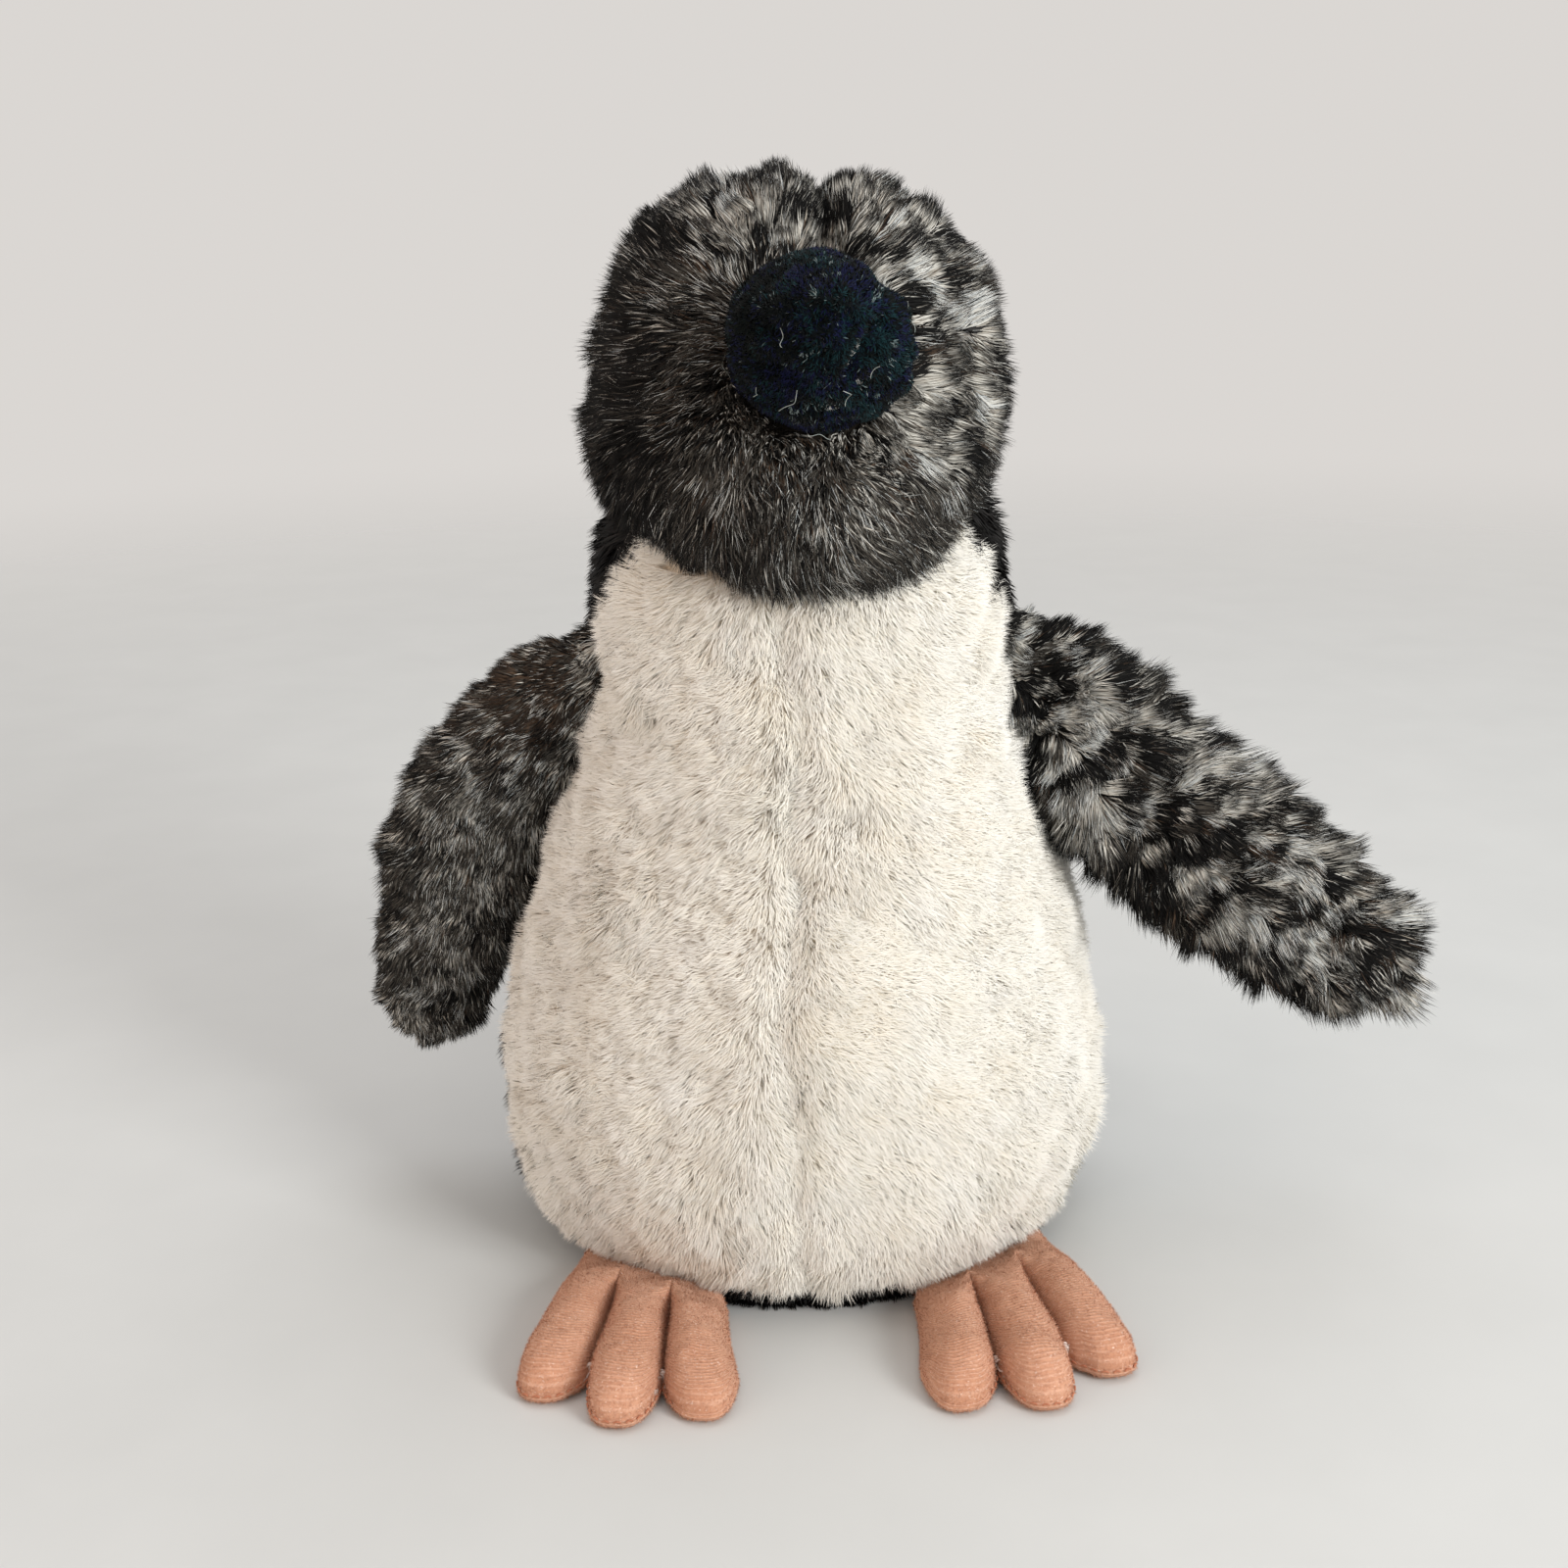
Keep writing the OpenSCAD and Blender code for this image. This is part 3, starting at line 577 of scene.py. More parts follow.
cap = [ring(torso_co[0], s, 0.3 * MM) for s in (0.02, 0.3, 0.6, 0.85, 0.96)]
lid = [ring(torso_co[-1], s, torso_top - d * MM) for s, d in ((0.9, 0.6), (0.5, 2), (0.02, 3))]
torso_all = np.stack([*cap, *torso_co, *lid])
torso_outside = BVHTree.FromPolygons(
    torso_all.reshape(-1, 3).tolist(), grid_quads(len(torso_all), COLS, True)[:, ::-1].tolist())


def outside_torso(p, by):
    """Whether each point is outside the torso by that much."""
    out = np.ones(len(p), bool)
    for i, q in enumerate(p):
        at, _, _, far = torso_outside.find_nearest(Vector(q))
        out[i] = (Vector(q) - at).dot(Vector((at[0], at[1], 0))) > 0 and far > by
    return out


def torso_part(name, first, last, rows, backing, slot, *stands):
    """A cloth from column first to column last of the wrapped grid, and the skin its pile grows on."""
    part = torso_all[rows][:, np.arange(first, last + 1) % COLS]
    co, quads = part.reshape(-1, 3), grid_quads(*part.shape[:2])
    dress(build(f"{name}_skin", co, [quads], backing), on_body("torso"), stands)
    return Skin(co, triangles(quads))


hem_row = len(cap) + int(np.argmin(abs(rows_z - HEM)))
above, below = slice(hem_row, None), slice(0, hem_row + 1)
belly = torso_part("belly", 0, BELLY_COLS, above, cream_backing, "cream_plush", *TORSO[:2])
back = torso_part("back", BELLY_COLS, COLS, above, black_backing, "black_plush", *TORSO[2:4])
base = torso_part("base", 0, COLS, below, black_backing, "black_plush", *TORSO[4:])

HEAD_AT = np.array(joints["head_nod"]["pos_m"])


def torso_share(p):
    """None inside the head."""
    return np.where(np.linalg.norm(p - HEAD_AT, axis=1) < 38 * MM, 0.0, 1.0)


def round_z(n):
    """The way round the Z axis, towards +X across the front."""
    return unit(np.stack([-n[:, 1], n[:, 0], np.zeros(len(n))], 1))


def belly_pile():
    rng = np.random.default_rng(11)

    def share(q):
        """None where the chin rests on the belly."""
        chin = (q[:, 1] < -20 * MM) & (abs(q[:, 0]) < 34 * MM - (q[:, 2] - 160 * MM)) & (q[:, 2] > 165 * MM)
        return torso_share(q) * np.where(chin, 0.0, 1.0)

    p, n = belly.roots(230000, rng, share)
    z = p[:, 2] / MM
    y = p[:, 1] - middle_y(p[:, 2])
    deg = np.degrees(np.arctan2(p[:, 0], -y))
    # mm from the middle seam, + towards +X
    off = np.radians(deg - BELLY_SEAM) * np.hypot(p[:, 0], y) / MM - np.interp(z, rows_z / MM, wander)
    outward = np.tanh(off / 2.5) * (0.15 + 0.85 * smooth(abs(off) / 25)) * smooth((z - 12) / 30)
    swirl = 0.5 * waves(p, 38 * MM, 21) + 0.25 * waves(p, 14 * MM, 22)
    comb = round_z(n) * (outward + swirl * 0.7)[:, None] + DOWN * (0.8 + 0.3 * waves(p, 30 * MM, 23))[:, None]
    length = (5.7 + 0.6 * waves(p, 12 * MM, 24)) * rng.uniform(0.7, 1.2, len(p)) * MM
    length *= 0.85 + 0.15 * smooth(abs(off) / 6)
    flank = smooth((abs(off) - 28) / 25)
    lean = (0.5 - 0.2 * flank + 0.1 * waves(p, 9 * MM, 25) + rng.normal(0, 0.16, len(p)),
            1.08 - 0.28 * flank + 0.2 * waves(p, 9 * MM, 26) + rng.normal(0, 0.18, len(p)))
    paths = strand_paths(p, n, comb, length, lean, 0.45 + 0.4 * flank, rng)
    tuft, count = gather(paths, 3.2 * MM, 0.26 + 0.2 * smooth(-off / 25 + 0.1), rng)
    tone = tones(rng, tuft, count, 0.3, 0.5) + 0.1 + 0.1 * waves(p, 20 * MM, 27)
    make_pile("belly_pile", paths, n, 0.14 * MM, np.clip(tone, 0, 1), cream_pile, "cream_plush",
              on_body("torso"), roll=0.4, lift=0.75, lowest=0.2 * MM)


def black_pile_on(name, body, paths, n, tuft, count, rng, own=0.5, lowest=0.2):
    make_pile(name, paths, n, 0.26 * MM, tones(rng, tuft, count, 0.5, own), black_pile, "black_plush",
              on_body(body), lowest=lowest * MM)


def back_pile():
    rng = np.random.default_rng(12)
    low, high = (np.array(q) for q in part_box("care_label"))

    def share(q):
        """None over the care label."""
        over = np.all((q > low - 3 * MM) & (q < high + np.array([3, 3, 5]) * MM), axis=1)
        return torso_share(q) * np.where(over, 0.0, 1.0)

    p, n = back.roots(85000, rng, share)
    comb = DOWN + round_z(n) * (0.5 * waves(p, 30 * MM, 31) + 0.3 * waves(p, 12 * MM, 32))[:, None]
    length = (7.5 + 0.8 * waves(p, 18 * MM, 33)) * rng.uniform(0.75, 1.15, len(p)) * MM
    lean = (0.55 + rng.normal(0, 0.12, len(p)),
            1.15 + 0.25 * waves(p, 10 * MM, 34) + rng.normal(0, 0.15, len(p)))
    paths = strand_paths(p, n, comb, length, lean, 0.35, rng)
    black_pile_on("back_pile", "torso", paths, n, *gather(paths, 4.2 * MM, 0.55, rng), rng)


def base_pile():
    rng = np.random.default_rng(13)
    p, n = base.roots(14000, rng, lambda q: np.where(q[:, 2] > 1.0 * MM, 1.0, 0.0))
    comb = n * np.array([1, 1, 0.0]) + DOWN * 0.4
    length = 4.5 * rng.uniform(0.7, 1.1, len(p)) * MM
    lean = (0.5 + rng.normal(0, 0.15, len(p)), 1.0 + rng.normal(0, 0.2, len(p)))
    paths = strand_paths(p, n, comb, length, lean, 0.5, rng)
    black_pile_on("base_pile", "torso", paths, n, *gather(paths, 3.5 * MM, 0.5, rng), rng, 0.4)


belly_pile()
back_pile()
base_pile()


# ---------------------------------------------------------------- head

HEAD_ROLL, HEAD_YAW, BEAK_PITCH, HEAD_R = 7, 1, 17, 41      # degrees, and mm


head_turn = turned(z=HEAD_YAW) @ turned(y=HEAD_ROLL)


def to_head(p):
    """Points in the head's own frame, in mm."""
    return (p - HEAD_AT) @ head_turn / MM


beak_way = head_turn @ np.array([0, -math.cos(math.radians(BEAK_PITCH)), math.sin(math.radians(BEAK_PITCH))])


def off_beak(p):
    """How far points on the head are from the beak's middle line, in mm."""
    return np.linalg.norm(np.cross(unit(p - HEAD_AT), beak_way), axis=1) * HEAD_R


head_tree = hull_tree(["head_panel_left", "head_panel_right", "head_stuffing"])
bm = bmesh.new()
bmesh.ops.create_icosphere(bm, subdivisions=6, radius=1)
way = np.array([q.co for q in bm.verts])
head_tri = np.array([[q.index for q in f.verts] for f in bm.faces])
bm.free()
head_co = HEAD_AT + way * np.array([cast_radius(head_tree, HEAD_AT, d) for d in way])[:, None]
local = to_head(head_co)
x, z = local[:, 0], local[:, 2]
seam_in = (1.6 + 2.2 * smooth((z - 26) / 10)) * bump_of(x, 3.2) * smooth((np.hypot(x, z) + 5) / 20)
beak_near = np.arccos(np.clip(unit(local) @ (head_turn.T @ beak_way), -1, 1)) * HEAD_R
head_lumps = 0.9 * waves(head_co, 34 * MM, 41) + 0.5 * waves(head_co, 15 * MM, 42)
CHIN_WAY = np.array([0, -0.8, -0.6])
chin = bump_of(np.degrees(np.arccos(np.clip(unit(local) @ CHIN_WAY, -1, 1))), 38)
proud = head_lumps - seam_in - 2.0 * bump_of(beak_near, 14) + 8.5 * chin
head_co = head_co + way * (proud * MM)[:, None]
head = Skin(head_co, head_tri)
head_skin = build("head_skin", head_co, [head_tri], frost_backing)
dress(head_skin, on_body("head"), ("head_panel_left", "head_panel_right"))


def frost_pile_on(name, attach, paths, n, shade, **ribbons):
    """Frosted pile. The pale strands are the fine ones."""
    width = np.where(shade > 0.88, 0.08, 0.15) * MM
    make_pile(name, paths, n, width, shade, frost_pile, "frosted_plush", attach, **ribbons)


def head_pile():
    rng = np.random.default_rng(14)

    def share(q):
        """None under the beak and at the neck."""
        under_beak = ((q - HEAD_AT) @ beak_way > 0) & (off_beak(q) < 15.5)
        return np.where(under_beak | (to_head(q)[:, 2] < -31), 0.0, 1.0)

    p, n = head.roots(150000, rng, share)
    x, y, z = to_head(p).T
    whorl = np.array([-9, -36, 19]) * MM @ head_turn.T + HEAD_AT
    behind = smooth((y + 8) / 20)
    under = smooth((-z - 4) / 16) * (1 - behind)
    comb = unit(p - whorl) + DOWN * (0.9 * behind + 0.5 * under)[:, None]
    comb[:, 0] += np.sign(x) * bump_of(x, 7) * smooth((z - 20) / 12) * 1.2      # the crown's parting
    b = np.cross(n, unit(comb - n * dot(comb, n)))
    comb = comb + b * (0.35 * waves(p, 16 * MM, 43) + 0.25 * waves(p, 7 * MM, 44) + 0.35 * under)[:, None]
    crown = smooth((z - 20) / 10)
    tufted = np.maximum(smooth((x - 2) / 14) * smooth((z + 16) / 14), crown)
    length = (8.4 + 0.8 * waves(p, 14 * MM, 45)) * rng.uniform(0.7, 1.12, len(p)) * MM
    length *= 1 - 0.4 * bump_of(x, 3.5) * smooth((z - 22) / 10)
    fuller = 1 + 0.3 * bump_of(x, 26) * smooth((-z - 16) / 10) * (1 - behind)
    length *= (0.6 + 0.4 * smooth((off_beak(p) - 15) / 12)) * fuller
    lean = (0.42 + 0.12 * waves(p, 8 * MM, 46) + 0.3 * under + rng.normal(0, 0.14, len(p)),
            0.88 + 0.22 * waves(p, 8 * MM, 47) + 0.3 * under + rng.normal(0, 0.2, len(p)))
    paths = strand_paths(p, n, comb, length, lean, 0.38, rng)
    tuft, count = gather(paths, 4.6 * MM, 0.2 + 0.35 * tufted, rng)
    by_tuft = rng.random(len(p)) < 0.25 + 0.5 * tufted
    pick = np.where(by_tuft, rng.random(count)[tuft], rng.random(len(p)))
    left_edge = smooth((-x - 22) / 12)
    lower_left = smooth((-x + 4) / 20) * smooth((-z - 10) / 10)
    neck_dark = smooth((-z - 22) / 8)
    streak = bump_of(x - 6 - 0.25 * (z + 26), 5) * smooth((-z - 10) / 8)
    patch = np.clip(0.9 * waves(p, 10 * MM, 56) + 0.5 * waves(p, 5 * MM, 57), -1, 1)
    rim = smooth((abs(x) - 24) / 12) + smooth((z - 26) / 10)
    shadow = 0.50 + 1.3 * left_edge + 1.2 * lower_left
    mix = np.stack([
        shadow + (0.3 + 0.45 * patch) * tufted + 0.7 * neck_dark + 0.35 * rim,
        0.14 + (0.95 - 0.4 * patch) * tufted + 0.5 * streak,
        0.50 - 0.42 * tufted - 0.25 * left_edge + 0.2 * under,
        0.08 + 0.05 * crown,
        0.12 + (0.10 - 0.2 * patch) * tufted - 0.06 * left_edge + 0.25 * streak,
    ], 1)
    drift = np.stack([waves(p, 12 * MM, 50 + i) for i in range(5)], 1)
    mix = mix.clip(0.01) * (1 + 0.3 * drift).clip(0.2)
    frost_pile_on("head_pile", on_body("head"), paths, n, shades(rng, FROST_BANDS, pick, mix), lift=0.5)


head_pile()


# ---------------------------------------------------------------- beak

BEAK_R, BEAK_ROOT, BEAK_TIP, MOUTH_Y, BEAK_COLS = 17.0, 30.0, 76.0, -3.0, 96     # mm
CURVE_FROM = 39.7                                   # where its side starts to curve in
beak_frame = head_turn @ turned(x=90 - BEAK_PITCH)
beak_rows = np.concatenate([
    np.linspace(BEAK_ROOT, 42, 12), 42 + (BEAK_TIP - 42) * np.sin(np.linspace(0, np.pi / 2, 46)[1:])])
t = np.clip((beak_rows - CURVE_FROM) / (BEAK_TIP - CURVE_FROM), 0, 0.9995)
beak_r = BEAK_R * (1 - t**2.2) ** 0.64
k = np.arange(BEAK_COLS) * 2 * np.pi / BEAK_COLS
out = np.repeat(beak_rows[:, None], BEAK_COLS, 1)
beak_co = np.stack([beak_r[:, None] * np.cos(k), beak_r[:, None] * np.sin(k), out], -1).reshape(-1, 3)
beak_quads = grid_quads(len(beak_rows), BEAK_COLS, True)
tip = len(beak_co)
last = tip - BEAK_COLS + np.arange(BEAK_COLS)
beak_end = np.stack([last, np.roll(last, -1), np.full(BEAK_COLS, tip)], 1)
beak_co = np.concatenate([beak_co, [[0, 0, BEAK_TIP + 0.02]]])
beak_tri = np.concatenate([triangles(beak_quads), beak_end])
beak_n = vertex_normals(beak_co, beak_tri)
mouth = 0.9 * bump_of(beak_co[:, 1] - MOUTH_Y - 0.8 * np.sin(beak_co[:, 0] / 5), 1.1)
fold_from, fold_to = np.array([8.2, -1.0]), np.array([3.6, -9.8])
fold_line = fold_to - fold_from
along = np.clip(((beak_co[:, :2] - fold_from) @ fold_line) / (fold_line**2).sum(), 0, 1)
from_fold = np.linalg.norm(beak_co[:, :2] - (fold_from + along[:, None] * fold_line), axis=1)
fold = 2.4 * bump_of(from_fold, 1.3) * (beak_co[:, 2] > 50)
beak_lumps = 0.7 * waves(beak_co, 22, 61) + 0.35 * waves(beak_co, 9, 62)
squarer = 0.5 * np.cos(4 * np.arctan2(beak_co[:, 1], beak_co[:, 0]) + 0.6)
beak_co = beak_co + beak_n * (beak_lumps + squarer - mouth - fold)[:, None]
beak_co[:, :2] = beak_co[:, :2] * np.array([1.04, 0.94]) + np.array([0, 0.7])
beak_world = beak_co * MM @ beak_frame.T + HEAD_AT
beak = Skin(beak_world, beak_tri)
beak_cloth = Shader("navy_cloth", rough=0.95, specular=0.1)
p = beak_cloth.place()
beak_cloth.bump(beak_cloth.noise(p, 1.5, 2), 0.3, 0.6)
NAVY = [(0.3, "05070a"), (0.5, "0b1216"), (0.7, "101a2a")]
beak_cloth.colour(beak_cloth.ramp(beak_cloth.noise(p, 0.35, 4), NAVY))
beak_skin = build("beak_skin", beak_world, [beak_quads, beak_end], beak_cloth.material)
dress(beak_skin, on_body("head"), ("beak_upper", "beak_lower"))


def beak_nap():
    rng = np.random.default_rng(15)
    p, n = beak.roots(40000, rng, lambda q: np.where((q - HEAD_AT) @ beak_way > 36 * MM, 1.0, 0.0))
    comb = np.cross(n, rng.normal(size=(len(p), 3)))
    length = 1.25 * rng.uniform(0.6, 1.2, len(p)) * MM
    lean = (0.5 + rng.normal(0, 0.2, len(p)), 0.9 + rng.normal(0, 0.3, len(p)))
    paths = strand_paths(p, n, comb, length, lean, 1.0, rng)
    tuft, count = gather(paths, 1.6 * MM, 0.25, rng)
    x, y, _ = ((p - HEAD_AT) @ beak_frame / MM).T
    zone = 0.35 + 0.5 * waves(p, 12 * MM, 63)
    # The dark share drifts at random and grows towards -x; that growth is painted shade on the beak's side
    # away from the key light.
    dark = np.clip(0.55 + 0.45 * waves(p, 9 * MM, 65) + 1.6 * smooth((-x - 6) / 6), 0.05, 3)
    navy = np.clip(zone + 0.3 * smooth(-x / 8 + 0.3) * smooth(-y / 8 + 0.5), 0.03, 1.2)
    # The teal share drifts at random and grows towards +x; that growth is a painted highlight on the beak's
    # side facing the key light.
    teal = np.clip(0.25 - 0.45 * waves(p, 12 * MM, 64) + 0.5 * smooth(x / 9), 0.03, 1.2)
    mix = np.stack([dark, navy, teal, np.full(len(p), 0.03)], 1)
    pick = np.where(rng.random(len(p)) < 0.6, rng.random(count)[tuft], rng.random(len(p)))
    shade = shades(rng, VELOUR_BANDS, pick, mix)
    make_pile("beak_nap", paths, n, 0.11 * MM, shade, velour, "navy_velour", on_body("head"), 0.5, 0.7)

    lines = []                                      # stray lint
    s = np.linspace(0, 1, 12)[:, None]
    for i in range(9):
        start = rng.integers(len(p))
        up = n[start]
        way = unit(np.cross(up, rng.normal(size=3)))
        line = p[start] + up * (1.3 + 0.4 * np.sin(s * 7 + i)) * MM + way * s * rng.uniform(3, 7) * MM
        line = line + np.cross(up, way) * np.sin(s * rng.uniform(2, 5) + i) * 0.9 * MM
        lines.append(line - up * (s - 0.5) ** 2 * MM)
    lint = Shader("lint", rough=0.8).mottle(0.8, "8f9a98", "c9cfca")
    dress(threads("beak_lint", lines, 0.055 * MM, lint), on_body("head"))


beak_nap()


# ---------------------------------------------------------------- wings

# mm. s runs along a wing from its seam at the shoulder; the wing bends in an arc about its fold.
FOLD_S, WING_L, WING_W, WING_H, HALF_ARC, WING_COLS = 40.0, 117.0, 16.0, 6.5, 12.0, 52
wing_s = np.concatenate([
    np.linspace(-12, 24, 28), np.linspace(24, 100, 56)[1:],
    100 + (WING_L - 0.3 - 100) * np.sin(np.linspace(0, np.pi / 2, 18)[1:])])


def wing_section():
    """Half the wing's width and half its thickness, row by row."""
    end = np.clip((wing_s - 24) / (WING_L - 24), 0, 1)
    root = 14.7 * (0.4 + 0.6 * smooth((wing_s + 12) / 26) ** 0.7)
    blade = WING_W * (0.92 + 0.08 * smooth(end * 3)) * np.maximum(0.012, 1 - end**4) ** 0.6
    taper = np.sqrt(np.maximum(0.01, 1 - (np.maximum(wing_s, 0) / WING_L) ** 3))
    thick = (5.5 + (WING_H - 5.5) * smooth(wing_s / 20)) * taper
    return np.where(wing_s < 24, root, blade), thick * (1 - 0.42 * bump_of(wing_s - FOLD_S, 5.5))


def wing_middle(bend):
    """How far out, how far up and at what angle the middle of each row is."""
    start, end = FOLD_S - HALF_ARC, FOLD_S + HALF_ARC
    b = math.radians(bend) * np.clip((wing_s - start) / (end - start), 0, 1)
    r = (end - start) / math.radians(bend)
    more = np.maximum(0, wing_s - end)
    x = np.where(wing_s <= start, wing_s, start + r * np.sin(b) + more * np.cos(b))
    z = np.where(wing_s <= start, 0, -r * (1 - np.cos(b)) - more * np.sin(b))
    return x, z, b


def left_wing_mix(at, off, edge, tip, near_root, patch):
    """Each strand's shares of the shades: patches, dark edges and painted shade in the crease across."""
    # More dark strands along the crease: painted shade in the fold.
    crease_shade = bump_of(at - 52 - 4 * off, 7) * smooth((0.7 - off) / 0.6)
    dark = 0.3 + 0.75 * patch + 0.45 * edge + 1.3 * crease_shade + 0.25 * near_root - 0.2 * tip
    dark = np.clip(dark, 0, 2)
    light = np.clip(1 - dark, 0, 1)
    pale = 0.02 + 0.6 * light**1.5 * (1 - 0.85 * edge) * (1 - 0.7 * tip)
    return [0.04 + 1.3 * dark, 0.22 + 0.75 * light, 0.08 + 0.1 * dark, 0.04 + 0.06 * dark, pale]


def right_wing_mix(at, off, edge, patch):
    """Each strand's shares of the shades: mostly taupe, brown at the shoulder."""
    brown = bump_of(at - 6, 12) * smooth((off + 0.3) / 0.5)
    light = 0.38 - 0.42 * patch - 0.35 * edge + 0.45 * bump_of(at - 45, 12)
    light = np.clip(light + 0.3 * smooth((at - 45) / 20) * bump_of(off, 0.4), 0, 1)
    pale = 0.03 + 0.3 * light
    return [0.75 - 0.6 * light, 0.1 + 0.55 * light, 0.55 - 0.1 * light, 0.05 + 1.8 * brown, pale]


def wing(side):
    """The toy's left wing for side 1, its right wing for -1, which is shorter in the pile and flatter."""
    left = side > 0
    name = "wing_left" if left else "wing_right"
    droop, sweep, bend = (47, -14, -10) if left else (50, 18, 24)
    pivot, fold_at = (np.array(joints[f"{name}_{move}"]["pos_m"]) for move in ("raise", "fold"))
    turn = turned(x=sweep) @ turned(y=droop)
    flip = np.array([side, 1, 1.0])

    def place(p):
        return (p * MM @ turn.T) * flip + pivot

    def unplace(q):
        return ((q - pivot) * flip) @ turn / MM

    w, h = wing_section()
    mid_x, mid_z, mid_b = wing_middle(bend)
    a = np.arange(WING_COLS) * 2 * np.pi / WING_COLS
    across = w[:, None] * np.sign(np.cos(a)) * abs(np.cos(a)) ** 0.92
    through = h[:, None] * np.sin(a)
    b = mid_b[:, None]
    local = np.stack([mid_x[:, None] + across * np.sin(b), through, mid_z[:, None] + across * np.cos(b)], -1)
    world = place(local.reshape(-1, 3))
    quads = grid_quads(len(wing_s), WING_COLS, True)[:, ::-side]
    lumps = 0.6 * waves(world, 24 * MM, 71 + side) + 0.3 * waves(world, 11 * MM, 75 + side)
    edge_seam = 0.7 * bump_of(through.reshape(-1), 0.9)
    world = world + vertex_normals(world, triangles(quads)) * ((lumps - edge_seam) * MM)[:, None]
    split = int(np.argmin(abs(wing_s - 22)))
    half_bend = math.radians(bend / 2)
    root_way = place(np.array([1.0, 0, 0])) - pivot
    fold_way = place(np.array([math.cos(half_bend), 0, -math.sin(half_bend)])) - pivot
    root_way, fold_way = unit(root_way), unit(fold_way)
    near = between()
    far = between()
    for part, rows, attach, half in (
        ("root", slice(0, split + 1), near, "inner"),
        ("blade", slice(split, len(wing_s)), far, "outer"),
    ):
        co = world.reshape(len(wing_s), WING_COLS, 3)[rows]
        faces = [grid_quads(len(co), WING_COLS, True)[:, ::-side]]
        obj = build(f"{name}_{part}_skin", co.reshape(-1, 3), faces, frost_backing)
        dress(obj, attach, (f"{name}_{half}_front", f"{name}_{half}_back"))
    skin = Skin(world, triangles(quads))

    def at_of(q):
        """How far along the wing each point is."""
        return np.interp(unplace(q)[:, 0], mid_x, wing_s)

    def pile(part, low, high, roots, attach, seed):
        rng = np.random.default_rng(seed)
        p, n = skin.roots(roots, rng, lambda q: np.where((at_of(q) >= low) & (at_of(q) < high), 1.0, 0.0))
        at = at_of(p)
        if low < 0:
            keep = (at > 14) | outside_torso(p, 0.8 * MM)
            p, n, at = p[keep], n[keep], at[keep]
        x, y, z = unplace(p).T
        z = z - np.interp(x, mid_x, mid_z)
        b = np.interp(x, mid_x, mid_b)
        off = z / 16
        along = np.stack([np.cos(b), 0 * b, -np.sin(b)], 1)
        out = np.stack([np.sin(b), 0 * b, np.cos(b)], 1)
        tip = smooth((at - 95) / 15)
        near_root = 1 - smooth((at - 5) / 55)
        edge = smooth((abs(off) - 0.45) / 0.45)
        if left:
            tossed, curl, clump, pull, by_tuft = 0.5, 0.38, 4.4 * MM, 0.55, 0.6
            fan = (0.8 + 1.5 * near_root) * off
            length = (8.6 + 0.9 * waves(p, 9 * MM, seed + 3)) * (1 + 0.38 * edge + 0.3 * tip)
            flat = 0.1 * edge
        else:
            tossed, curl, clump, pull, by_tuft = 0.3, 0.25, 3.6 * MM, 0.35, 0.35
            fan = (0.5 + 0.6 * near_root) * off + 0.25 * near_root
            length = (6.6 + 0.6 * waves(p, 12 * MM, seed + 3)) * (1 + 0.1 * edge - 0.1 * tip)
            flat = 0.12
        sway = fan + tossed * waves(p, 17 * MM, seed + 1) + 0.25 * waves(p, 8 * MM, seed + 2)
        comb = ((along + out * sway[:, None]) @ turn.T) * flip
        length = length * rng.uniform(0.72, 1.12, len(p)) * (0.8 + 0.2 * smooth((at - 5) / 20)) * MM
        lean = (0.42 + flat + 0.12 * waves(p, 8 * MM, seed + 4) + rng.normal(0, 0.14, len(p)),
                0.85 + 2 * flat + 0.25 * waves(p, 8 * MM, seed + 5) + rng.normal(0, 0.2, len(p)))
        paths = strand_paths(p, n, comb, length, lean, curl, rng)
        tuft, count = gather(paths, clump, pull, rng)
        tone, own = rng.random(count)[tuft], rng.random(len(p))
        pick = np.where(rng.random(len(p)) < by_tuft, tone, own)
        streak = waves(np.stack([at * 0.5, y, z], 1) * MM, 6 * MM, seed + 6)
        patch = np.clip(0.8 * streak + 0.8 * waves(p, 10 * MM, seed + 7), -1, 1)
        if left:
            mix = left_wing_mix(at, off, edge, tip, near_root, patch)
        else:
            mix = right_wing_mix(at, off, edge, patch)
        shade = shades(rng, FROST_BANDS, pick, np.stack(mix, 1).clip(0.02))
        frost_pile_on(f"{name}_{part}_pile", attach, paths, n, shade)

    pile("root", -12, 22, 24000, near, 100 if left else 80)
    pile("blade", 22, 200, 60000, far, 110 if left else 90)


wing(1)
wing(-1)


# ---------------------------------------------------------------- tail

TAIL_COLS = 36
tail_at = np.array(joints["tail_lift"]["pos_m"])
tail_turn = turned(x=-20)
t = np.concatenate([np.linspace(-0.35, 0, 8), np.sin(np.linspace(0, np.pi / 2, 30)[1:])])
w = 14 * np.maximum(0.03, 1 - np.clip(t, 0, 1) ** 1.8) ** 0.7
full = np.maximum(t, 0.35)
h = np.where(t < 0, 4.2, 1.8 + 3 * np.sin(np.pi * full**0.7) * (1 - full))
a = np.arange(TAIL_COLS) * 2 * np.pi / TAIL_COLS
out = np.repeat(26 * t[:, None], TAIL_COLS, 1)
tail_local = np.stack([w[:, None] * np.cos(a), out, h[:, None] * np.sin(a)], -1).reshape(-1, 3)
tail_co = tail_local * MM @ tail_turn.T + tail_at
tail_quads = grid_quads(len(t), TAIL_COLS, True)
tail_n = vertex_normals(tail_co, triangles(tail_quads))
if (tail_n * (tail_co - tail_co.mean(0))).sum() < 0:
    tail_quads = tail_quads[:, ::-1]
tail = Skin(tail_co, triangles(tail_quads))
tail_skin = build("tail_skin", tail_co, [tail_quads], black_backing)
dress(tail_skin, on_body("tail"), ("tail_top", "tail_bottom"))


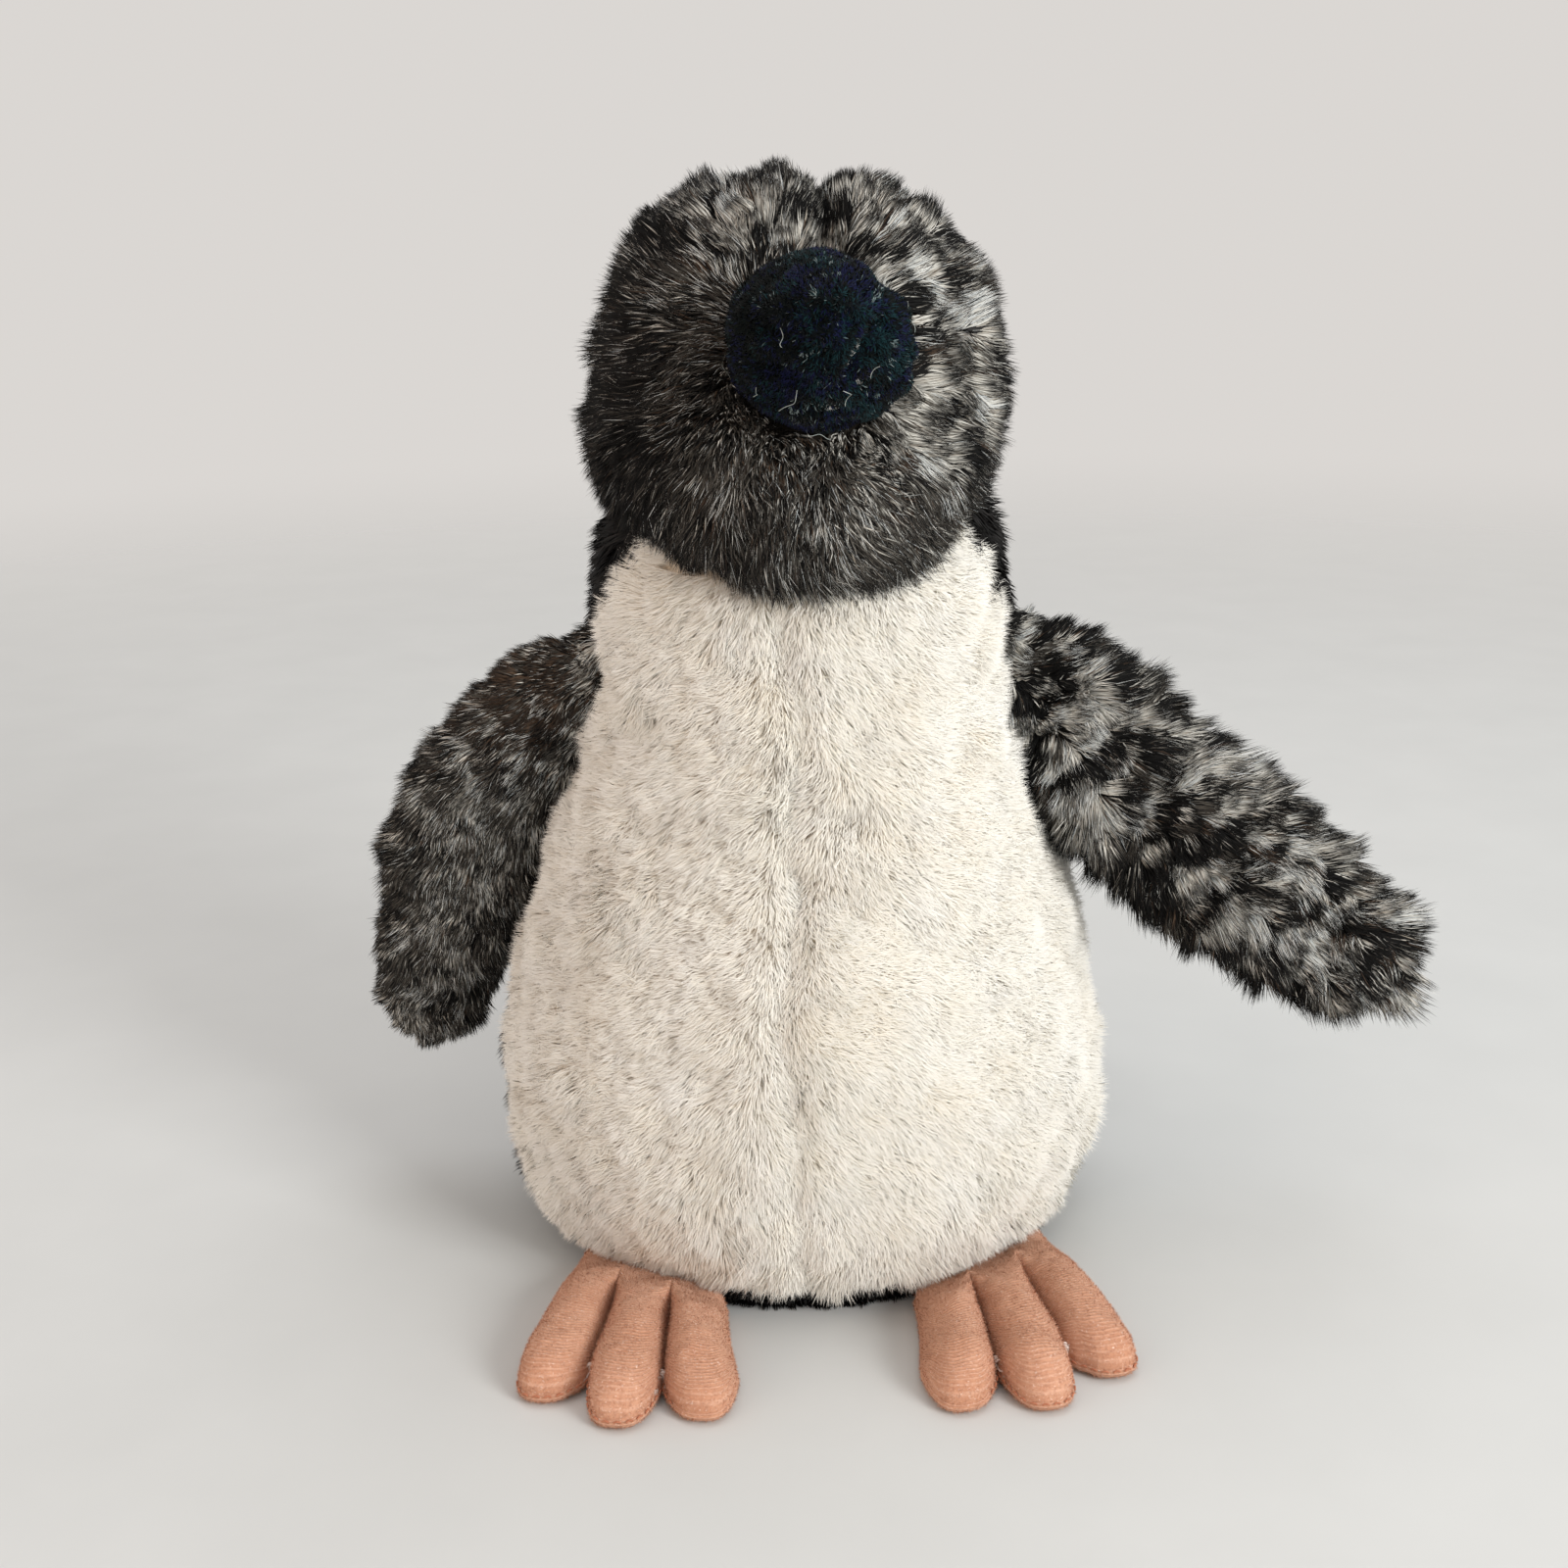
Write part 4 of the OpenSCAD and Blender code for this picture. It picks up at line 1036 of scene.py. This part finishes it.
def tail_pile():
    rng = np.random.default_rng(16)
    p, n = tail.roots(6500, rng, lambda q: np.where(((q - tail_at) @ tail_turn)[:, 1] > -1 * MM, 1.0, 0.0))
    comb = np.repeat([np.array([0, 1.0, -0.1]) @ tail_turn.T], len(p), 0)
    comb[:, 0] += 0.5 * np.sign(p[:, 0]) * smooth(abs(p[:, 0]) / (12 * MM))
    length = 7.0 * rng.uniform(0.75, 1.1, len(p)) * MM
    lean = (0.6 + rng.normal(0, 0.1, len(p)), 1.2 + rng.normal(0, 0.15, len(p)))
    paths = strand_paths(p, n, comb, length, lean, 0.3, rng)
    black_pile_on("tail_pile", "tail", paths, n, *gather(paths, 4 * MM, 0.5, rng), rng, lowest=0.3)


tail_pile()


# ---------------------------------------------------------------- feet

FOOT_L, ROOT_W, TOE_W, TOE_H, SPLAY, RIM, RIB = 49.0, 18.0, 21.5, 10.0, 8.0, 2.9, 0.85     # mm and degrees
TOE_EDGES = [-1, -0.45, -0.333, -0.22, 0.22, 0.333, 0.45, 1]  # across it: where the toes' reach changes
knit = Shader("terracotta_knit", rough=1.0, specular=0.05, sheen=0.35, sheen_tint="f5d2bd")
over, down_toe, uv = knit.strand_map()
wobble = knit.math("MULTIPLY", knit.noise(uv, 9, 2, 0.5), 1.6)
rib = knit.math("ADD", knit.math("MULTIPLY", down_toe, 2 * math.pi * FOOT_L / RIB), wobble)
rib = knit.math("SINE", rib)
stitch = knit.math("SINE", knit.math("MULTIPLY", over, 2 * math.pi * 45))
speck = knit.noise(knit.place(), 2.4, 2)
height = knit.math("ADD", knit.math("MULTIPLY", stitch, 0.1), speck)
knit.bump(knit.math("ADD", knit.math("MULTIPLY", rib, 0.6), height), 0.17, 0.8)
colour = knit.mix(knit.ramp(knit.noise(uv, 5, 2, 0.5), [(0.35, 0.0), (0.65, 1.0)]), "c48f72", "d2a084")
colour = knit.mix(knit.ramp(rib, [(0.2, 0.0), (0.9, 0.45)]), colour, "e2b8a0")
knit.colour(knit.mix(knit.ramp(speck, [(0.62, 0.0), (0.74, 0.9)]), colour, "fae8dc"))
white_thread = Shader("white_thread", rough=0.7, sheen=0.2)
white_thread.bump(white_thread.noise(white_thread.place(), 6, 2), 0.1, 0.5)
white_thread.mottle(3, "e2cfc4", "f8efe8")
tan_thread = Shader("tan_thread", rough=0.7).mottle(3, "a9684c", "c08265")


def foot_height(u, v, w):
    """How high a foot stands above its rim, with a channel between its toes."""
    channel = smooth((v - 0.16) / 0.3)
    across = np.sqrt(np.maximum(0, 1 - abs(u) ** 5))
    ridge = np.maximum(0, 1 - w * w) ** 0.42
    end = np.maximum(0, 1 - v**5) ** 0.45
    root = 0.55 + 0.45 * smooth(v / 0.4)
    return TOE_H * end * root * ((1 - channel) * across + channel * (0.1 * across + 0.9 * ridge))


def inset(edge, amount, z):
    """A foot's outline drawn in by amount, at height z."""
    t = np.gradient(edge[:, :2], axis=0)
    n = np.stack([t[:, 1], -t[:, 0]], 1)
    n /= np.maximum(np.linalg.norm(n, axis=1, keepdims=True), 1e-9)
    facing = np.sign(((edge[:, :2] - np.array([0, -FOOT_L * 0.45])) * n).sum())
    out = edge.copy()
    out[:, :2] -= n * facing * amount
    out[:, 2] = z
    return out


def foot(side):
    """The toy's left foot for side 1, its right foot for -1.

    u runs outwards across it, v from its seam to its toes, and w across each toe.
    """
    name = "foot_left" if side > 0 else "foot_right"
    joint = joints[f"{name}_lift"]
    origin = np.array([joint["pos_m"][0] * side, joint["pos_m"][1], 0]) / MM
    c, sn = math.cos(math.radians(SPLAY)), math.sin(math.radians(SPLAY))
    turn = np.array([[c, -sn, 0], [sn, c, 0], [0, 0, 1.0]])
    root_turn = math.atan2(abs(joint["axis"][1]), abs(joint["axis"][0])) - math.radians(SPLAY)
    spread = np.random.default_rng(40 + side).uniform(-0.02, 0.02, 3)
    inner, middle, outer = np.array([0.93, 1.0, 0.86]) * (1 + spread)
    reaches = [inner, inner, (inner + middle) / 2, middle, middle, (middle + outer) / 2, outer, outer]

    def plan(u, v):
        toe = np.minimum(2, np.floor((u + 1) * 1.5)).astype(int)
        w = (u + 1) * 3 - 2 * toe - 1
        reach = FOOT_L * np.interp(u, TOE_EDGES, reaches) * (1 - 0.27 * abs(w) ** 3)
        half = ROOT_W + (TOE_W - ROOT_W) * v - 1.5 * v**6 * abs(w) ** 3
        x = half * u + reach * v * np.sin(np.radians(16 * u * v * v)) * 0.35
        y = ROOT_W * u * math.tan(root_turn) * (1 - v) - reach * v
        return x, y, w

    def to_world(p):
        q = (p.reshape(-1, 3) @ turn.T + origin) * MM
        return q * np.array([side, 1, 1])

    arc = -np.cos(np.linspace(0, np.pi, 23))
    us = np.concatenate([-2 / 3 + arc / 3, arc[1:] / 3, 2 / 3 + arc[1:] / 3])
    vs = np.concatenate([[-0.12, -0.06], np.sin(np.linspace(0, np.pi / 2, 64))])
    u, v = np.meshgrid(us, vs)
    x, y, w = plan(u, v)
    upper = np.stack([x, y, RIM + foot_height(u, np.maximum(v, 0), w)], -1)
    flat = upper.reshape(-1, 3)
    lumps = (0.35 * waves(flat, 14, 120 + side) + 0.08 * waves(flat, 5, 122 + side)).reshape(x.shape)
    wrinkle = 0.35 * np.sin(v * 60 + 3 * w) * bump_of(v - 0.3, 0.16) * bump_of(abs(w) - 1, 0.35)
    upper[..., 2] += (lumps + wrinkle) * (smooth((1 - abs(u)) / 0.12) * smooth((1 - v) / 0.08))
    # the whole outline: down one side, round the toes and back, then rows in under the foot
    outline = np.concatenate([upper[:, 0], upper[-1][1:], upper[::-1, -1][1:]])
    skirt = [outline]
    for amount, z in ((-0.35, RIM - 0.5), (-0.5, RIM - 1.1), (0.1, RIM - 1.9), (1.4, 0.55), (3.2, 0.35)):
        skirt.append(inset(outline, amount, z))
    half_way = skirt[-1] * np.array([0.5, 0.6, 1]) - np.array([0, 8, 0])
    centre = np.repeat([[0, -20, 0.35]], len(outline), 0)
    lower = np.stack([*skirt, half_way, centre])

    def shape(part, co, uvs, want, fuzz_count):
        """A cloth that faces the way wanted, and the skin its fuzz grows on."""
        world, quads = to_world(co), grid_quads(*co.shape[:2])
        if (vertex_normals(world, triangles(quads)) * want(world)).sum() < 0:
            quads = quads[:, ::-1]
        obj = build(f"{name}_{part}_skin", world, [quads], knit.material, uvs)
        dress(obj, on_body(name), (f"{name}_{part}",))
        return part, Skin(world, triangles(quads)), fuzz_count

    def map_up(v):
        return np.clip(v, 0, 1) * 0.96 + 0.02

    def map_over(u):
        return np.clip((u + 1) / 2, 0.005, 0.995)

    upper_uv = np.stack([map_over(u), map_up(v)], -1).reshape(-1, 2)
    rim_u = np.concatenate([np.full(len(vs), 0.005), map_over(us[1:]), np.full(len(vs) - 1, 0.995)])
    rim_v = np.concatenate([map_up(vs), map_up(np.ones(len(us) - 1)), map_up(vs[::-1][1:])])
    depth = np.linspace(0, 0.1, len(lower))[:, None]
    lower_uv = np.stack([rim_u + depth * (0.5 - rim_u) * 2, rim_v - depth], -1)
    lower_uv = lower_uv.reshape(-1, 2).clip(0.004, 0.996)
    cloths = [
        shape("upper", upper, upper_uv, lambda q: np.array([0, 0, 1.0]), 30000),
        shape("sole", lower, lower_uv, lambda q: unit(q - q.mean(0) - np.array([0, 0, 5 * MM])), 7000),
    ]
    rng = np.random.default_rng(130 + side)
    for part, skin, count in cloths:
        p, n = skin.roots(count, rng, lambda q: np.where(q[:, 2] > 0.6 * MM, 1.0, 0.0))
        comb = np.cross(n, rng.normal(size=(len(p), 3)))
        length = 0.75 * rng.uniform(0.5, 1.3, len(p)) * MM
        lean = (0.6 + 0 * length, 0.9 + rng.normal(0, 0.3, len(p)))
        paths = strand_paths(p, n, comb, length, lean, 1.0, rng, 1)
        make_pile(f"{name}_{part}_fuzz", paths, n, 0.05 * MM, rng.random(len(p)), fuzz, "terracotta_knit",
                  on_body(name), 0.6, 0.7, 0.1 * MM)

    lines = []                                      # rim stitches round the toes
    run = np.concatenate([[0], np.cumsum(np.linalg.norm(np.diff(outline[:, :2], axis=0), axis=1))])
    seam = inset(outline, -0.55, RIM - 0.35)
    for at in np.arange(run[-1] * 0.3, run[-1] * 0.7, 2.3):
        piece = at + np.linspace(0, 1.35, 5)
        line = np.stack([np.interp(piece, run, seam[:, k]) for k in range(3)], 1)
        line[:, 2] += 0.35 * np.sin(np.linspace(0, np.pi, 5))
        lines.append(to_world(line))
    rim_stitches = threads(f"{name}_rim_stitches", lines, 0.2 * MM, tan_thread)
    dress(rim_stitches, on_body(name))

    lines = []        # thread knots in the clefts, with loose ends, and a run of stitches up each channel
    for cleft in (-1 / 3, 1 / 3):
        cx, cy, _ = (q[0] for q in plan(np.array([cleft]), np.array([1.0])))
        k = np.linspace(0, 2 * np.pi, 18)
        for _ in range(8):
            tilt = math.sin(rng.uniform(-0.8, 0.8))
            lines.append(to_world(np.stack([
                cx + rng.normal(0, 0.2) + 0.75 * np.cos(k),
                cy - 0.6 + 0.75 * np.sin(k) * tilt + rng.normal(0, 0.3),
                3.6 + 1.5 * np.sin(k) + rng.normal(0, 0.3)], 1)))
        k = np.linspace(0, 1, 8)[:, None]
        start = np.array([cx, cy - 0.8, 3.8])
        for _ in range(3):
            way = unit(rng.normal(size=3) + np.array([0, -0.8, 0.8]))
            lines.append(to_world(start + way * k * 2.4 + rng.normal(0, 0.25, (8, 3)) * k))
        for at in np.arange(0.3, 0.95, 0.11):
            px, py, _ = plan(np.array([cleft, cleft]), np.array([at, at + 0.035]))
            stitched = [np.linspace(*px, 4), np.linspace(*py, 4), np.full(4, RIM + 1.2)]
            lines.append(to_world(np.stack(stitched, 1)))
    knots = threads(f"{name}_knots", lines, 0.2 * MM, white_thread.material)
    dress(knots, on_body(name), (f"{name}_stitches",))


foot(1)
foot(-1)


# ---------------------------------------------------------------- eyes and what is inside

def filling():
    s = Shader("filling", rough=0.95, specular=0.05, sheen=0.3)
    s.bump(s.noise(s.place(), 0.5, 5, 0.7), 2.0, 0.8)
    return s.mottle(0.35, "dcd9d2", "fbfaf6", 4)


def pouch_weave():
    s = Shader("pouch_weave", rough=0.85, specular=0.15)
    weave = s.math("MULTIPLY", s.bands(0.9, "X"), s.bands(0.9, "Y"))
    s.bump(weave, 0.3, 0.8)
    return s.colour(s.ramp(weave, [(0, "b9b4a8"), (1, "e9e5da")]))


def pellets():
    s = Shader("pellets", rough=0.35, specular=0.5)
    cells = s.texture("TexVoronoi", s.place(), 0.35)
    s.bump(s.math("SUBTRACT", 1.0, cells), 1.5, 1.0)
    # Lighter in each cell's middle and darker towards its edge: painted shade between the pellets.
    return s.colour(s.ramp(cells, [(0, "f4f6f8"), (0.8, "b7bcc4")]))


def satin():
    s = Shader("satin", rough=0.35, specular=0.4)
    weave = s.bands(2.5, "Z")
    s.bump(weave, 0.08, 0.6)
    return s.colour(s.ramp(weave, [(0, "e4e2de"), (1, "f7f6f3")]))


def black_thread():
    s = Shader("black_thread", rough=0.6)
    s.bump(s.noise(s.place(), 4), 0.1, 0.6)
    return s.mottle(2, "0a0a0a", "1c1b1a")


eye = Shader("eye_plastic", rough=0.12, specular=0.6).mottle(0.4, "040404", "0b0a0a")
washer = Shader("washer", rough=0.4, specular=0.4).mottle(0.5, "e3e4e6", "f2f3f4")
LOOKS = {                                           # by part of a node's name
    "stuffing": (filling(), "fibre_filling"),
    "pellet_pouch": (pouch_weave(), "pouch_cloth"),
    "pellet_fill": (pellets(), "plastic_pellets"),
    "closing_stitches": (black_thread(), "black_thread"),
    "care_label": (satin(), "label_satin"),
    "eye_washer": (washer, "washer_plastic"),
    "eye_": (eye, "black_eye"),
}
for name, obj in nodes.items():
    if obj.hide_render:
        continue
    material, slot = next(look for key, look in LOOKS.items() if key in name)
    obj.data.materials.clear()
    obj.data.materials.append(material)


# ---------------------------------------------------------------- floor, camera and light

def table_material():
    """A pale, plain top that fades out into the surroundings away from the toy."""
    s = Shader("table", rough=0.8, specular=0.15)
    grain = s.noise(s.place(0.02), 1.0, 3)
    s.colour(s.mix(s.ramp(grain, [(0.35, 0.0), (0.7, 1.0)]), "cfd1d0", "d2d4d3"))
    far = s.node("VectorMath", operation="LENGTH")
    s.link(s.place(0.001), far.inputs[0])
    gone = s.ramp(s.math("MULTIPLY", far.outputs["Value"], 0.5), [(0.22, 0.0), (0.75, 1.0)], "EASE")
    both = s.node("MixShader")
    for i, socket in enumerate((gone, s.main.outputs[0], s.node("BsdfTransparent").outputs[0])):
        s.link(socket, both.inputs[i])
    s.link(both.outputs[0], s.tree.nodes["Material Output"].inputs["Surface"])
    return s.material


FLOOR = 3.0                                         # m, half its side
corners = FLOOR * np.array([[-1, -1, 0], [1, -1, 0], [1, 1, 0], [-1, 1, 0.0]])
floor = build("floor", corners, [np.array([[0, 1, 2, 3]])], table_material())

camera = bpy.data.objects.new("camera", bpy.data.cameras.new("camera"))
bpy.context.scene.collection.objects.link(camera)
bpy.context.scene.camera = camera
camera.data.lens, camera.data.sensor_width = 43.99, 36
camera.data.clip_start, camera.data.clip_end = 0.02, 20
camera.location = (-0.0225, -0.430, 0.240)
camera.rotation_euler = (math.radians(90 - 17), math.radians(1.0), math.radians(-2.79))


def area_light(name, place, aim, size, power, colour):
    data = bpy.data.lights.new(name, "AREA")
    data.size, data.energy, data.color = size, power, rgb(colour)[:3]
    light = bpy.data.objects.new(name, data)
    light.location = place
    light.rotation_euler = (Vector(aim) - Vector(place)).to_track_quat("-Z", "Y").to_euler()
    bpy.context.scene.collection.objects.link(light)


area_light("key", (0.85, -0.95, 0.62), (0, 0, 0.12), 0.5, 13.5, "fbfaf8")
area_light("fill", (-1.1, -0.7, 0.45), (0, 0, 0.12), 0.9, 3.4, "ffd2b4")
area_light("top", (0.1, 0.3, 1.3), (0, 0, 0.1), 1.0, 3.5, "f2f6ff")
world = bpy.data.worlds.new("world")
bpy.context.scene.world = world
world.use_nodes = True
world.node_tree.nodes["Background"].inputs[0].default_value = rgb("ece8e4")
world.node_tree.nodes["Background"].inputs[1].default_value = 0.84
bpy.context.scene.view_settings.view_transform = "Standard"
